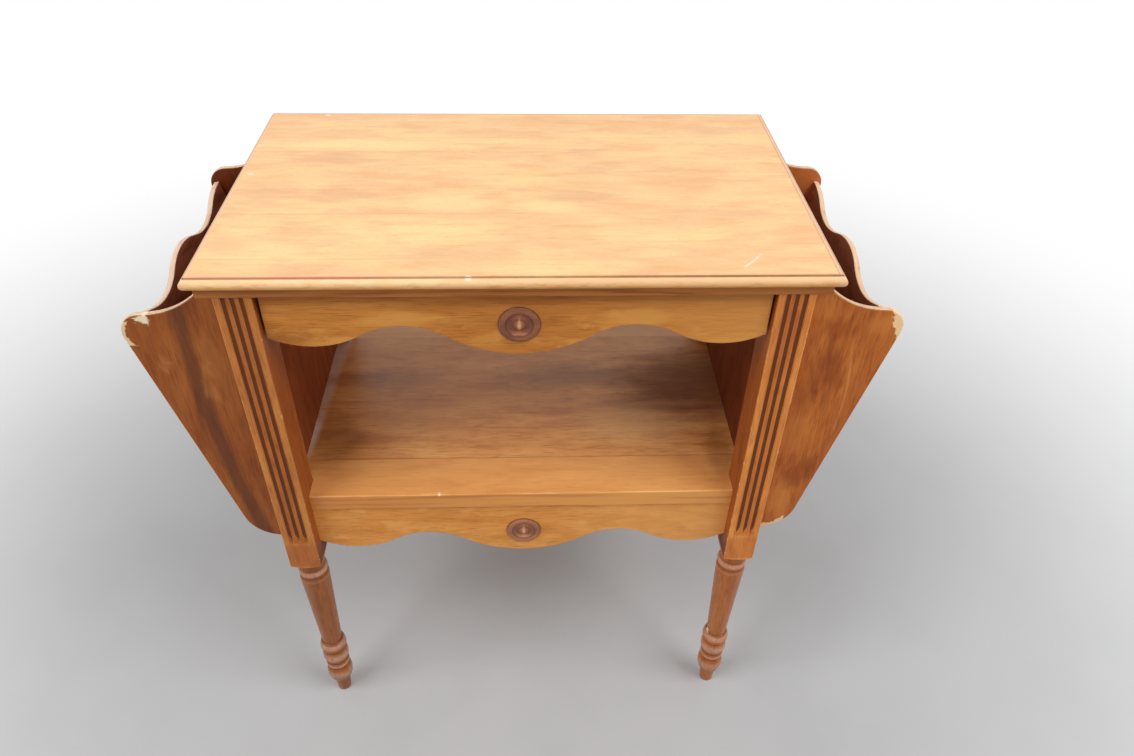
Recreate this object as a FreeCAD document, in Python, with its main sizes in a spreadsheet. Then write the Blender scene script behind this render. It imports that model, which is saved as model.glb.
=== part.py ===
import FreeCAD, Part
import Sketcher
import math
import os
import re

# Side table with a drawer, an open bay and a fixed magazine rack on each side.
# Millimetres, +Z up, origin on the floor under the middle of the top, front towards -Y.

SIZES = [
    ("top_length", 533, "top along X, nose to nose"),
    ("top_depth", 327.5, "top along Y, nose to nose"),
    ("top_thickness", 22, "top, underside of the band to the field"),
    ("table_height", 628, "field of the top above the floor"),
    ("nose_thickness", 11, "rounded nose of the top"),
    ("nose_round_share", 0.49, "nose rounding as a share of the nose thickness"),
    ("field_inset", 3.5, "raised field behind the nose"),
    ("field_step", 1, "raised field above the nose"),
    ("band_inset", 7, "band under the nose, behind the nose"),
    ("band_round", 1.5, "lower edge of the band"),
    ("post_width", 32, "square of a post along X"),
    ("post_depth", 38, "square of a post along Y"),
    ("post_side_setback", 19.3, "outer face of a post behind the nose"),
    ("post_front_setback", 8.7, "front face of a post behind the nose"),
    ("post_arris", 0.8, "rounded long edges of a post"),
    ("flute_width", 3.7, "one flute"),
    ("flute_pitch", 7.4, "flute to flute"),
    ("flute_foot", 301.2, "round lower end of the flutes above the floor"),
    ("foot_tip_radius", 7.9, "turned foot on the floor"),
    ("toe_top_radius", 9.5, "turned foot under its ball"),
    ("toe_height", 22.5, "start of the ball above the floor"),
    ("waist_radius", 12, "necks between ball, ring, bead and cup"),
    ("ball_top", 53, "end of the ball above the floor"),
    ("ball_swell", 4.2, "ball proud of its chord"),
    ("ring_top", 64, "end of the ring above the floor"),
    ("ring_swell", 1.8, "ring proud of its chord"),
    ("bead_top", 86, "end of the bead above the floor"),
    ("bead_swell", 3.2, "bead proud of its chord"),
    ("cup_top", 105, "end of the cup above the floor"),
    ("cup_lip_radius", 13, "lip of the cup"),
    ("cup_lip_height", 3.5, "rolled lip of the cup"),
    ("cup_lip_swell", 0.9, "rolled lip proud of its chord"),
    ("cup_swell", 2.7, "cup proud of its chord"),
    ("shaft_foot_radius", 11.4, "tapered shaft in the cup"),
    ("shaft_head_radius", 16, "tapered shaft under the collar"),
    ("shaft_top", 228.5, "end of the shaft above the floor"),
    ("collar_foot", 233, "start of the collar bead above the floor"),
    ("collar_top", 244, "end of the collar bead above the floor"),
    ("collar_radius", 14, "necks beside the collar bead"),
    ("collar_swell", 2, "collar bead proud of its chord"),
    ("neck_top", 258.8, "start of the square above the floor"),
    ("neck_radius", 15.8, "neck where the square starts"),
    ("neck_hollow", 1, "hollow neck behind its chord"),
    ("shoulder_rise", 6.5, "shoulder from the neck to the corners of the square"),
    ("shoulder_curve", 13, "rounding of the shoulder"),
    ("side_panel_thickness", 6, "panel between front and rear post"),
    ("side_panel_foot", 290.3, "lower edge of a side panel above the floor"),
    ("side_groove", 8, "side panel in a post"),
    ("shelf_height", 354.7, "upper face of the shelf above the floor"),
    ("shelf_thickness", 19, "shelf board"),
    ("shelf_overhang", 2, "front edge of the shelf before the face of the lower apron"),
    ("shelf_rear_setback", 2, "rear edge of the shelf before the rear faces of the rear posts"),
    ("shelf_clearance", 0.2, "shelf to posts and side panels"),
    ("shelf_round", 1.5, "long edges of the shelf"),
    ("apron_setback", 15.8, "face of the lower apron behind the post face"),
    ("apron_thickness", 18, "lower apron and rear rails"),
    ("apron_height", 70.9, "lower apron at its middle"),
    ("apron_round", 1.2, "scalloped lower edges"),
    ("arch_rise", 30.3, "arches above the middle of the scallop"),
    ("lobe_rise", 9.2, "end lobes above the middle of the scallop"),
    ("arch_place_share", 0.466, "arch as a share of half the length between posts"),
    ("lobe_place_share", 0.817, "end lobe as a share of half the length between posts"),
    ("centre_curve_share", 0.633, "middle curve as a share of middle and arch curve"),
    ("rail_height", 50, "rear rails"),
    ("dowel_diameter", 8, "rail dowels"),
    ("dowel_clearance", 0.1, "dowel hole round a dowel"),
    ("dowel_edge", 13, "upper dowel below the upper edge of a rail"),
    ("dowel_pitch", 25, "dowel to dowel"),
    ("dowel_post_depth", 10, "rail dowel in a post"),
    ("dowel_rail_depth", 15, "rail dowel in a rail"),
    ("head_dowel_diameter", 10, "post top dowels"),
    ("head_dowel_post_depth", 18, "post top dowel in the post"),
    ("head_dowel_top_depth", 12, "post top dowel in the top"),
    ("top_cleat_height", 40, "strip under the top"),
    ("shelf_cleat_height", 20, "strip under the shelf"),
    ("rack_panel_thickness", 6, "boards of the racks"),
    ("rack_housing", 5, "rack end panel in a post"),
    ("rack_foot", 294.3, "lower edge of a rack end panel above the floor"),
    ("rack_foot_reach", 2.8, "centre of the lower corner curve beyond the post"),
    ("rack_foot_curve", 36.5, "lower corner curve of a rack end panel"),
    ("rack_tip_reach", 70.9, "centre of the tip curve beyond the post"),
    ("rack_tip_drop", 28.4, "tip of a rack end panel below the top"),
    ("rack_tip_curve", 19.5, "tip curve of a rack end panel"),
    ("rack_sweep_curve", 73.4, "hollow curve from the tip up to the top"),
    ("rack_edge_round", 1.2, "edges of the rack boards"),
    ("outer_inset", 4.1, "rack outer panel inside the edge of the end panels"),
    ("outer_foot_lift", 16, "lower edge of the outer panel above that of the end panels"),
    ("outer_peak_drop", 16.8, "crests of the outer panel below the tip"),
    ("dip_depth", 14.8, "dips of the outer panel below its crests"),
    ("dip_place_share", 0.484, "dip as a share of half the panel"),
    ("crest_curve_share", 0.5, "crest curve as a share of crest and dip curve"),
    ("rack_floor_thickness", 8, "board at the bottom of a rack"),
    ("drawer_setback", 6, "drawer face behind the post face"),
    ("drawer_end_gap", 2.6, "drawer front to a post"),
    ("drawer_top_gap", 1.5, "drawer front to the top"),
    ("drawer_front_height", 63.5, "drawer front at its middle"),
    ("drawer_front_thickness", 16, "drawer front"),
    ("drawer_side_thickness", 10, "drawer sides and back"),
    ("drawer_head_gap", 4.4, "drawer sides to the top"),
    ("drawer_stop_gap", 0.5, "closed drawer to the upper rear rail"),
    ("drawer_housing", 8, "drawer side in the drawer front"),
    ("drawer_back_inset", 3, "drawer back before the ends of the sides"),
    ("drawer_back_housing", 4, "drawer back in a side"),
    ("drawer_bottom_thickness", 4, "drawer bottom"),
    ("drawer_bottom_lift", 4, "drawer bottom above the lower edge of the sides"),
    ("drawer_bottom_groove", 5, "drawer bottom in sides and front"),
    ("slide_clearance", 0.3, "drawer side above the runner"),
    ("guide_clearance", 0.4, "drawer side beside the guide"),
    ("runner_width", 22, "runner along X"),
    ("runner_base", 8, "runner under the drawer side"),
    ("runner_guide_thickness", 10, "guide beside the drawer side"),
    ("runner_guide_height", 10, "guide above the running face"),
    ("runner_front_gap", 0.5, "runner behind the drawer front"),
    ("rosette_lift", 31.5, "rosette above the middle of a scallop"),
    ("rosette_radius", 18.2, "turned rosette"),
    ("rosette_sink", 2, "rosette let into the board"),
    ("rosette_rim", 0.6, "outer edge of a rosette above the board"),
    ("rosette_lip", 1.5, "inner edge of the rosette's ring above the board"),
    ("rosette_swell", 1.2, "ring of a rosette proud of its chord"),
    ("dish_radius", 11.6, "dish of a rosette"),
    ("dish_hollow", 1.4, "dish of a rosette below its chord"),
    ("button_radius", 5.2, "button in a rosette"),
    ("button_foot", 0.5, "edge of the button above the board"),
    ("button_wall", 0.5, "upright edge of the button"),
    ("button_rise", 1.9, "dome of the button"),
    ("spigot_radius", 4, "peg behind a rosette"),
    ("spigot_length", 6, "peg behind a rosette"),
    ("overrun", 2, "cuts past the solid"),
]

FORMULAS = [
    ("underside", "table_height - top_thickness", "underside of the top"),
    ("nose_round", "nose_thickness * nose_round_share", "rounding of the nose"),
    ("band_height", "top_thickness - field_step - nose_thickness", "band under the nose"),
    ("post_x", "top_length / 2 - post_side_setback - post_width / 2", "middle of a post"),
    ("post_y", "top_depth / 2 - post_front_setback - post_depth / 2", "middle of a post"),
    ("post_inner", "post_x - post_width / 2", "inner face of a post"),
    ("post_outer", "post_x + post_width / 2", "outer face of a post"),
    ("post_front", "post_y + post_depth / 2", "front face of a front post"),
    ("post_back", "post_y - post_depth / 2", "rear face of a front post"),
    ("post_corner", "sqrt(post_width ^ 2 + post_depth ^ 2) / 2 + overrun", "past a corner of the square"),
    ("panel_inner", "post_x - side_panel_thickness / 2", "inner face of a side panel"),
    ("panel_outer", "post_x + side_panel_thickness / 2", "outer face of a side panel"),
    ("shelf_underside", "shelf_height - shelf_thickness", "underside of the shelf"),
    ("apron_face", "post_front - apron_setback", "face of the lower apron"),
    ("apron_back", "apron_face - apron_thickness", "rear of the lower apron"),
    ("apron_middle", "apron_face - apron_thickness / 2", "dowel line of apron and rails"),
    ("apron_foot", "shelf_underside - apron_height", "middle of the apron's scallop"),
    ("arch_x", "post_inner * arch_place_share", "top of an arch"),
    ("lobe_x", "post_inner * lobe_place_share", "bottom of an end lobe"),
    ("arch_swing", "(arch_x ^ 2 + arch_rise ^ 2) / (2 * arch_rise)", "middle and arch radius together"),
    ("centre_radius", "arch_swing * centre_curve_share", "middle curve of the scallop"),
    ("arch_radius", "arch_swing - centre_radius", "arch curve of the scallop"),
    ("lobe_fall", "arch_rise - lobe_rise", "end lobe below the arch"),
    ("lobe_run", "lobe_x - arch_x", "end lobe beside the arch"),
    ("lobe_swing", "(lobe_run ^ 2 + lobe_fall ^ 2) / (2 * lobe_fall)", "arch and lobe radius together"),
    ("lobe_radius", "lobe_swing - arch_radius", "end lobe curve of the scallop"),
    ("arch_share", "arch_radius / lobe_swing", "share of the fall that the arch takes"),
    ("foot_x", "post_outer + rack_foot_reach", "centre of the rack's lower corner curve"),
    ("foot_z", "rack_foot + rack_foot_curve", "centre of the rack's lower corner curve"),
    ("tip_x", "post_outer + rack_tip_reach", "centre of the rack's tip curve"),
    ("tip_z", "underside - rack_tip_drop - rack_tip_curve", "centre of the rack's tip curve"),
    ("tip_away", "sqrt((tip_x - foot_x) ^ 2 + (tip_z - foot_z) ^ 2)", "between the two centres"),
    ("rack_lean", "atan((tip_x - foot_x) / (tip_z - foot_z))"
                  " - asin((rack_foot_curve - rack_tip_curve) / tip_away)", "lean of the rack's edge"),
    ("sweep_rise", "rack_sweep_curve - rack_tip_drop", "centre of the hollow curve above the underside"),
    ("sweep_x", "tip_x - sqrt(rack_sweep_curve ^ 2 - sweep_rise ^ 2)", "hollow curve where it meets the top"),
    ("rack_span", "post_y - rack_panel_thickness / 2", "inner face of a rack end panel"),
    ("outer_foot", "rack_foot + outer_foot_lift", "lower edge of the outer panel"),
    ("outer_x", "tip_x + (rack_tip_curve - outer_inset) / cos(rack_lean)"
                " + (outer_foot - tip_z) * tan(rack_lean)", "outer face at that edge"),
    ("outer_height", "(tip_z + rack_tip_curve - outer_peak_drop - outer_foot) / cos(rack_lean)",
     "outer panel up its slope"),
    ("dip_y", "rack_span * dip_place_share", "dip of the outer panel"),
    ("crest_swing", "(dip_y ^ 2 + dip_depth ^ 2) / (2 * dip_depth)", "crest and dip radius together"),
    ("crest_radius", "crest_swing * crest_curve_share", "middle crest"),
    ("dip_radius", "crest_swing - crest_radius", "dips"),
    ("end_swing", "((rack_span - dip_y) ^ 2 + dip_depth ^ 2) / (2 * dip_depth)",
     "dip and end radius together"),
    ("end_radius", "end_swing - dip_radius", "end crests"),
    ("dip_share", "dip_radius / end_swing", "share of the rise that the dip takes"),
    ("rack_floor_foot", "outer_foot + rack_panel_thickness * sin(rack_lean)", "underside of a rack floor"),
    ("rack_floor_top", "rack_floor_foot + rack_floor_thickness", "upper face of a rack floor"),
    ("outer_inner_x", "outer_x - rack_panel_thickness / cos(rack_lean)", "inner face at that edge"),
    ("drawer_face", "post_front - drawer_setback", "face of the drawer front"),
    ("drawer_front_back", "drawer_face - drawer_front_thickness", "rear of the drawer front"),
    ("drawer_front_end", "post_inner - drawer_end_gap", "end of the drawer front"),
    ("drawer_front_top", "underside - drawer_top_gap", "upper edge of the drawer front"),
    ("drawer_front_foot", "drawer_front_top - drawer_front_height", "middle of the drawer's scallop"),
    ("drawer_side_foot", "drawer_front_foot + arch_rise", "lower edge of a drawer side"),
    ("drawer_side_top", "underside - drawer_head_gap", "upper edge of a drawer side"),
    ("drawer_side_front", "drawer_front_back + drawer_housing", "front end of a drawer side"),
    ("drawer_side_end", "apron_back - drawer_stop_gap", "rear end of a drawer side"),
    ("runner_top", "drawer_side_foot - slide_clearance", "running face of a runner"),
    ("guide_face", "post_inner - runner_guide_thickness", "face of the guide"),
    ("drawer_side_outer", "guide_face - guide_clearance", "outer face of a drawer side"),
    ("drawer_side_inner", "drawer_side_outer - drawer_side_thickness", "inner face of a drawer side"),
    ("drawer_back_rear", "drawer_side_end - drawer_back_inset", "rear face of the drawer back"),
    ("drawer_bottom_foot", "drawer_side_foot + drawer_bottom_lift", "underside of the drawer bottom"),
    ("drawer_bottom_top", "drawer_bottom_foot + drawer_bottom_thickness", "upper face of the drawer bottom"),
    ("drawer_bottom_edge", "drawer_side_inner + drawer_bottom_groove", "edge of the drawer bottom"),
    ("spigot_end", "rosette_sink + spigot_length", "end of a rosette's peg behind the face"),
]

NAMES = [row[0] for row in SIZES + FORMULAS]
SAME_PLACE = 0.001
TURNED_AWAY = {"left": "right", "right": "left"}
PIECES = []

doc = FreeCAD.newDocument("SideTable")
sheet = doc.addObject("Spreadsheet::Sheet", "Sizes")
for row, (name, content, meaning) in enumerate(SIZES + FORMULAS, start=1):
    driving = row <= len(SIZES)
    sheet.set("A%d" % row, meaning)
    sheet.set("B%d" % row, str(content) if driving else "=" + content)
    sheet.setAlias("B%d" % row, name)
doc.recompute()


def bound(text):
    """The text with every size name pointed at its cell."""
    return re.sub(r"[a-z_]+", lambda word: ("Sizes." if word[0] in NAMES else "") + word[0], text)


def number(text):
    """What the text comes to with the sizes as they are."""
    value = sheet.evalExpression(bound(text))
    return float(getattr(value, "Value", value))


def times(side, text):
    """The text for the right side, or its mirror image for the left side."""
    return text if side > 0 else "-(%s)" % text


def new_body(label):
    piece = doc.addObject("PartDesign::Body", label)
    piece.Label = label
    PIECES.append(piece)
    return piece


def place(item, x, y, z, axis="0; 0; 1", angle="0"):
    """Put an object at a point, turned about an axis."""
    spot = "create(<<vector>>; %s; %s; %s)" % (x, y, z)
    turn = "create(<<rotation>>; create(<<vector>>; %s); %s)" % (axis, angle)
    item.setExpression("Placement", bound("create(<<placement>>; %s; %s)" % (spot, turn)))


def sketch(piece, role, level="0", shift="0"):
    """A sketch on an origin plane, moved along the plane's normal and along its own x."""
    plane = [item for item in piece.Origin.OriginFeatures if item.Role == role][0]
    drawn = piece.newObject("Sketcher::SketchObject", "Sketch")
    drawn.AttachmentSupport = [(plane, "")]
    drawn.MapMode = "FlatFace"
    drawn.setExpression("AttachmentOffset.Base.x", bound(shift))
    drawn.setExpression("AttachmentOffset.Base.z", bound(level))
    return drawn


def fix(drawn, kind, geometry, point, text):
    """Hold one point of a sketch at a size along x or y."""
    index = drawn.addConstraint(Sketcher.Constraint(kind, geometry, point, number(text)))
    drawn.setExpression("Constraints[%d]" % index, bound(text))


def fix_radius(drawn, geometry, text):
    index = drawn.addConstraint(Sketcher.Constraint("Radius", geometry, number(text)))
    drawn.setExpression("Constraints[%d]" % index, bound(text))


def arc(start, end, radius, turn):
    """The short arc between two points, always drawn anticlockwise."""
    first, last = (start, end) if turn == "left" else (end, start)
    chord = last - first
    away = math.sqrt(radius ** 2 - (chord.Length / 2) ** 2)
    square = FreeCAD.Vector(-chord.y, chord.x, 0).normalize()
    centre = (first + last) / 2 + square * away
    from_angle = math.atan2(first.y - centre.y, first.x - centre.x)
    to_angle = math.atan2(last.y - centre.y, last.x - centre.x)
    return Part.ArcOfCircle(Part.Circle(centre, FreeCAD.Vector(0, 0, 1), radius), from_angle, to_angle)


def outline(drawn, corners, side=1):
    """A closed outline. A corner is (x, y), or (x, y, radius, turn) where an arc leaves it."""
    first = len(drawn.Geometry)
    texts = [(times(side, corner[0]), corner[1]) for corner in corners]
    spots = [FreeCAD.Vector(number(x), number(y), 0) for x, y in texts]
    starts = []
    ends = []
    for index, corner in enumerate(corners):
        start = spots[index]
        end = spots[(index + 1) % len(spots)]
        starts.append(1)
        ends.append(2)
        if len(corner) == 2:
            drawn.addGeometry(Part.LineSegment(start, end))
            continue
        turn = corner[3] if side > 0 else TURNED_AWAY[corner[3]]
        drawn.addGeometry(arc(start, end, number(corner[2]), turn))
        if turn == "right":
            starts[index], ends[index] = 2, 1
    for index, corner in enumerate(corners):
        this = first + index
        before = first + (index - 1) % len(corners)
        drawn.addConstraint(Sketcher.Constraint("Coincident", before, ends[index - 1], this, starts[index]))
        fix(drawn, "DistanceX", this, starts[index], texts[index][0])
        fix(drawn, "DistanceY", this, starts[index], texts[index][1])
        if len(corner) > 2:
            fix_radius(drawn, this, corner[2])
    return drawn


def rectangle(drawn, left, right, low, high, side=1):
    return outline(drawn, [(left, low), (right, low), (right, high), (left, high)], side)


def centred(drawn, length, depth):
    """A rectangle about the sketch's origin."""
    across = "(%s) / 2" % length
    along = "(%s) / 2" % depth
    return rectangle(drawn, "-" + across, across, "-" + along, along)


def circle(drawn, x, y, radius):
    spot = FreeCAD.Vector(number(x), number(y), 0)
    index = drawn.addGeometry(Part.Circle(spot, FreeCAD.Vector(0, 0, 1), number(radius)))
    fix(drawn, "DistanceX", index, 3, x)
    fix(drawn, "DistanceY", index, 3, y)
    fix_radius(drawn, index, radius)
    return drawn


def pad(piece, drawn, length):
    """Add a prism along the sketch's normal."""
    made = piece.newObject("PartDesign::Pad", "Pad")
    made.Profile = drawn
    made.setExpression("Length", bound(length))
    doc.recompute()


def cut(piece, made):
    """Recompute a cut and make sure that it took something away."""
    before = made.BaseFeature.Shape.Volume
    doc.recompute()
    if not made.Shape.Volume < before:
        raise RuntimeError("%s: %s cuts nothing" % (piece.Label, made.Name))


def pocket(piece, drawn, depth, along=False):
    """Cut against the sketch's normal, or along it."""
    made = piece.newObject("PartDesign::Pocket", "Pocket")
    made.Profile = drawn
    made.Reversed = along
    made.setExpression("Length", bound(depth))
    cut(piece, made)


def turn(piece, drawn):
    """Add a solid turned about the sketch's y axis."""
    made = piece.newObject("PartDesign::Revolution", "Turning")
    made.Profile = drawn
    made.ReferenceAxis = (drawn, ["V_Axis"])
    doc.recompute()


def turn_away(piece, drawn):
    """Cut a solid turned about the sketch's y axis."""
    made = piece.newObject("PartDesign::Groove", "LatheCut")
    made.Profile = drawn
    made.ReferenceAxis = (drawn, ["V_Axis"])
    cut(piece, made)
    return made


def round_edges(piece, radius, chosen):
    """Round the edges that the test picks."""
    base = piece.Tip
    picked = ["Edge%d" % index for index, edge in enumerate(base.Shape.Edges, start=1) if chosen(edge)]
    made = piece.newObject("PartDesign::Fillet", "Rounding")
    made.Base = (base, picked)
    made.setExpression("Radius", bound(radius))
    doc.recompute()


def lies_at(edge, axis, text):
    """True where the whole edge lies across the axis at that place."""
    first, last = edge.ParameterRange
    spots = [edge.valueAt(first), edge.valueAt((first + last) / 2), edge.valueAt(last)]
    return all(abs(getattr(spot, axis) - number(text)) < SAME_PLACE for spot in spots)


def bulge(start, end, swell):
    """Radius of the arc that stands proud of the chord between two corners by the swell."""
    chord = "((%s) - (%s)) ^ 2 + ((%s) - (%s)) ^ 2" % (start[0], end[0], start[1], end[1])
    return "((%s) / 4 + (%s) ^ 2) / (2 * (%s))" % (chord, swell, swell)


def swollen(stations):
    """Corners from stations (x, y, swell, turn): an arc that stands proud of its chord leaves each."""
    corners = []
    for station, after in zip(stations, stations[1:] + stations[:1]):
        if len(station) == 2:
            corners.append(station)
        else:
            corners.append((station[0], station[1], bulge(station, after, station[2]), station[3]))
    return corners


def scallop(end, top, foot):
    """Outline of a board whose lower edge runs lobe, arch, middle, arch, lobe in touching arcs."""
    inner_x = "arch_x * centre_curve_share"
    inner_z = "%s + arch_rise * centre_curve_share" % foot
    outer_x = "arch_x + lobe_run * arch_share"
    outer_z = "%s + arch_rise - lobe_fall * arch_share" % foot
    end_z = "%s + lobe_rise + lobe_radius - sqrt(lobe_radius ^ 2 - (%s - lobe_x) ^ 2)" % (foot, end)
    return [
        ("-" + end, top),
        ("-" + end, end_z, "lobe_radius", "left"),
        ("-(%s)" % outer_x, outer_z, "arch_radius", "right"),
        ("-(%s)" % inner_x, inner_z, "centre_radius", "left"),
        (inner_x, inner_z, "arch_radius", "right"),
        (outer_x, outer_z, "lobe_radius", "left"),
        (end, end_z),
        (end, top),
    ]


def round_scallop(piece, face, top):
    """Round the scalloped edge of a board where it meets the face."""
    round_edges(piece, "apron_round", lambda edge: lies_at(edge, "y", "-" + face)
                and abs(edge.tangentAt(edge.FirstParameter).z) < 1 - SAME_PLACE
                and not lies_at(edge, "z", top))


def dowel_holes(piece, face, y, top, depth, along):
    """Two dowel holes, one above the other, in a face across X."""
    drawn = sketch(piece, "YZ_Plane", face)
    for z in ("%s - dowel_edge" % top, "%s - dowel_edge - dowel_pitch" % top):
        circle(drawn, y, z, "dowel_diameter / 2 + dowel_clearance")
    pocket(piece, drawn, depth, along)


def table_top():
    """One moulded board: set-back band, rounded nose and a field that stands a little proud."""
    piece = new_body("table_top")
    band = centred(sketch(piece, "XY_Plane"), "top_length - 2 * band_inset", "top_depth - 2 * band_inset")
    pad(piece, band, "band_height")
    round_edges(piece, "band_round", lambda edge: lies_at(edge, "z", "0"))
    pad(piece, centred(sketch(piece, "XY_Plane", "band_height"), "top_length", "top_depth"), "nose_thickness")
    at_nose = ("band_height", "band_height + nose_thickness")
    round_edges(piece, "nose_round", lambda edge: any(lies_at(edge, "z", level) for level in at_nose)
                and (abs(edge.CenterOfMass.x) > number("top_length / 2 - band_inset / 2")
                     or abs(edge.CenterOfMass.y) > number("top_depth / 2 - band_inset / 2")))
    field = sketch(piece, "XY_Plane", "band_height + nose_thickness / 2")
    centred(field, "top_length - 2 * field_inset", "top_depth - 2 * field_inset")
    pad(piece, field, "nose_thickness / 2 + field_step")
    holes = sketch(piece, "XY_Plane")
    for x in ("-post_x", "post_x"):
        for y in ("-post_y", "post_y"):
            circle(holes, x, y, "head_dowel_diameter / 2 + dowel_clearance")
    pocket(piece, holes, "head_dowel_top_depth", along=True)
    place(piece, "0", "0", "underside")


def foot_profile():
    """Half section of the turned foot, from the floor to the square."""
    return swollen([
        ("0", "0"),
        ("foot_tip_radius", "0"),
        ("toe_top_radius", "toe_height", "ball_swell", "left"),
        ("waist_radius", "ball_top", "ring_swell", "left"),
        ("waist_radius", "ring_top", "bead_swell", "left"),
        ("waist_radius", "bead_top", "cup_swell", "left"),
        ("cup_lip_radius", "cup_top - cup_lip_height", "cup_lip_swell", "left"),
        ("shaft_foot_radius", "cup_top"),
        ("shaft_head_radius", "shaft_top"),
        ("collar_radius", "collar_foot", "collar_swell", "left"),
        ("collar_radius", "collar_top", "neck_hollow", "right"),
        ("neck_radius", "neck_top"),
        ("0", "neck_top"),
    ])


def post_stick(piece):
    """Square with rounded arrises, turned foot, and the shoulder that the lathe leaves between them."""
    pad(piece, centred(sketch(piece, "XY_Plane", "neck_top"), "post_width", "post_depth"),
        "underside - neck_top")
    round_edges(piece, "post_arris", lambda edge: abs(edge.tangentAt(edge.FirstParameter).z) > 1 - SAME_PLACE)
    turn(piece, outline(sketch(piece, "XZ_Plane"), foot_profile()))
    turn_away(piece, outline(sketch(piece, "XZ_Plane"), [
        ("neck_radius", "neck_top", "shoulder_curve", "left"),
        ("post_corner", "neck_top + shoulder_rise"),
        ("post_corner", "neck_top"),
    ]))


def flutes(piece):
    """Three flutes with round lower ends in the front face of a post."""
    first = outline(sketch(piece, "YZ_Plane", "-flute_pitch", "-post_depth / 2"), [
        ("0", "flute_foot - flute_width / 2", "flute_width / 2", "left"),
        ("flute_width / 2", "flute_foot"),
        ("flute_width / 2", "underside + overrun"),
        ("0", "underside + overrun"),
    ])
    flute = turn_away(piece, first)
    row = piece.newObject("PartDesign::LinearPattern", "Flutes")
    row.Originals = [flute]
    row.Direction = ([item for item in piece.Origin.OriginFeatures if item.Role == "X_Axis"][0], [""])
    row.setExpression("Length", bound("2 * flute_pitch"))
    row.Occurrences = 3
    piece.Tip = row
    doc.recompute()


def post(label, side, front):
    """A post in its own frame, with its fluted or plain face towards -Y and its outer face on the side."""
    piece = new_body(label)
    post_stick(piece)
    if front:
        flutes(piece)
    housing = rectangle(sketch(piece, "XY_Plane", "rack_foot"),
                        "post_width / 2 - rack_housing", "post_width / 2 + overrun",
                        "-rack_panel_thickness / 2", "rack_panel_thickness / 2", side)
    pocket(piece, housing, "underside - rack_foot + overrun", along=True)
    groove = rectangle(sketch(piece, "XY_Plane", "side_panel_foot"), "-side_panel_thickness / 2",
                       "side_panel_thickness / 2", "post_depth / 2 - side_groove", "post_depth / 2 + overrun")
    pocket(piece, groove, "underside - side_panel_foot + overrun", along=True)
    inner_face = times(side, "-post_width / 2")
    for top in ["shelf_underside"] if front else ["shelf_underside", "underside"]:
        dowel_holes(piece, inner_face, "post_y - apron_middle", top, "dowel_post_depth", along=side > 0)
    head = circle(sketch(piece, "XY_Plane", "underside"), "0", "0",
                  "head_dowel_diameter / 2 + dowel_clearance")
    pocket(piece, head, "head_dowel_post_depth")
    if front:
        place(piece, times(side, "post_x"), "-post_y", "0")
    else:
        place(piece, times(-side, "post_x"), "post_y", "0", angle="180")


def side_panel(label, side):
    piece = new_body(label)
    level = "panel_inner" if side > 0 else "-panel_outer"
    drawn = rectangle(sketch(piece, "YZ_Plane", level), "-post_back - side_groove", "post_back + side_groove",
                      "side_panel_foot", "underside")
    pad(piece, drawn, "side_panel_thickness")


def cleat(label, side, top, height):
    """A strip between the posts, flush with their inner faces."""
    piece = new_body(label)
    drawn = sketch(piece, "XY_Plane", "%s - %s" % (top, height))
    pad(piece, rectangle(drawn, "post_inner", "panel_inner", "-post_back", "post_back", side), height)


def runner(label, side):
    """L-shaped strip: the drawer side slides on its foot, along its guide."""
    piece = new_body(label)
    drawn = outline(sketch(piece, "XZ_Plane", "-apron_back"), [
        ("post_inner - runner_width", "runner_top - runner_base"),
        ("post_inner", "runner_top - runner_base"),
        ("post_inner", "runner_top + runner_guide_height"),
        ("guide_face", "runner_top + runner_guide_height"),
        ("guide_face", "runner_top"),
        ("post_inner - runner_width", "runner_top"),
    ], side)
    pad(piece, drawn, "apron_back + drawer_front_back - runner_front_gap")


def shelf():
    """Board notched round the four posts."""
    piece = new_body("shelf")
    front = "-(apron_face + shelf_overhang)"
    rear = "post_front - shelf_rear_setback"
    neck = "post_inner - shelf_clearance"
    wide = "panel_inner - shelf_clearance"
    notch = "post_back - shelf_clearance"
    right_side = [(neck, front), (neck, "-(%s)" % notch), (wide, "-(%s)" % notch),
                  (wide, notch), (neck, notch), (neck, rear)]
    left_side = [("-(%s)" % x, y) for x, y in reversed(right_side)]
    drawn = outline(sketch(piece, "XY_Plane", "shelf_underside"), right_side + left_side)
    pad(piece, drawn, "shelf_thickness")
    round_edges(piece, "shelf_round", lambda edge: lies_at(edge, "z", "shelf_height")
                and (lies_at(edge, "y", front) or lies_at(edge, "y", rear)))


def lower_apron():
    piece = new_body("lower_apron")
    drawn = outline(sketch(piece, "XZ_Plane", "apron_back"),
                    scallop("post_inner", "shelf_underside", "apron_foot"))
    pad(piece, drawn, "apron_thickness")
    round_scallop(piece, "apron_face", "shelf_underside")
    rosette_hole(piece, "apron_face", "apron_foot")
    rail_holes(piece, "-apron_middle", "shelf_underside")


def rosette_hole(piece, face, foot):
    """A shallow seat for a rosette, with a deeper hole for its peg."""
    for radius, depth in (("rosette_radius", "rosette_sink"),
                          ("spigot_radius", "spigot_end + dowel_clearance")):
        drawn = circle(sketch(piece, "XZ_Plane", face), "0", "%s + rosette_lift" % foot,
                       radius + " + dowel_clearance")
        pocket(piece, drawn, depth)


def rail_holes(piece, y, top):
    dowel_holes(piece, "post_inner", y, top, "dowel_rail_depth", along=False)
    dowel_holes(piece, "-post_inner", y, top, "dowel_rail_depth", along=True)


def rear_rail(label, top):
    piece = new_body(label)
    drawn = sketch(piece, "XY_Plane", "%s - rail_height" % top)
    pad(piece, rectangle(drawn, "-post_inner", "post_inner", "apron_back", "apron_face"), "rail_height")
    rail_holes(piece, "apron_middle", top)


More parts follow.
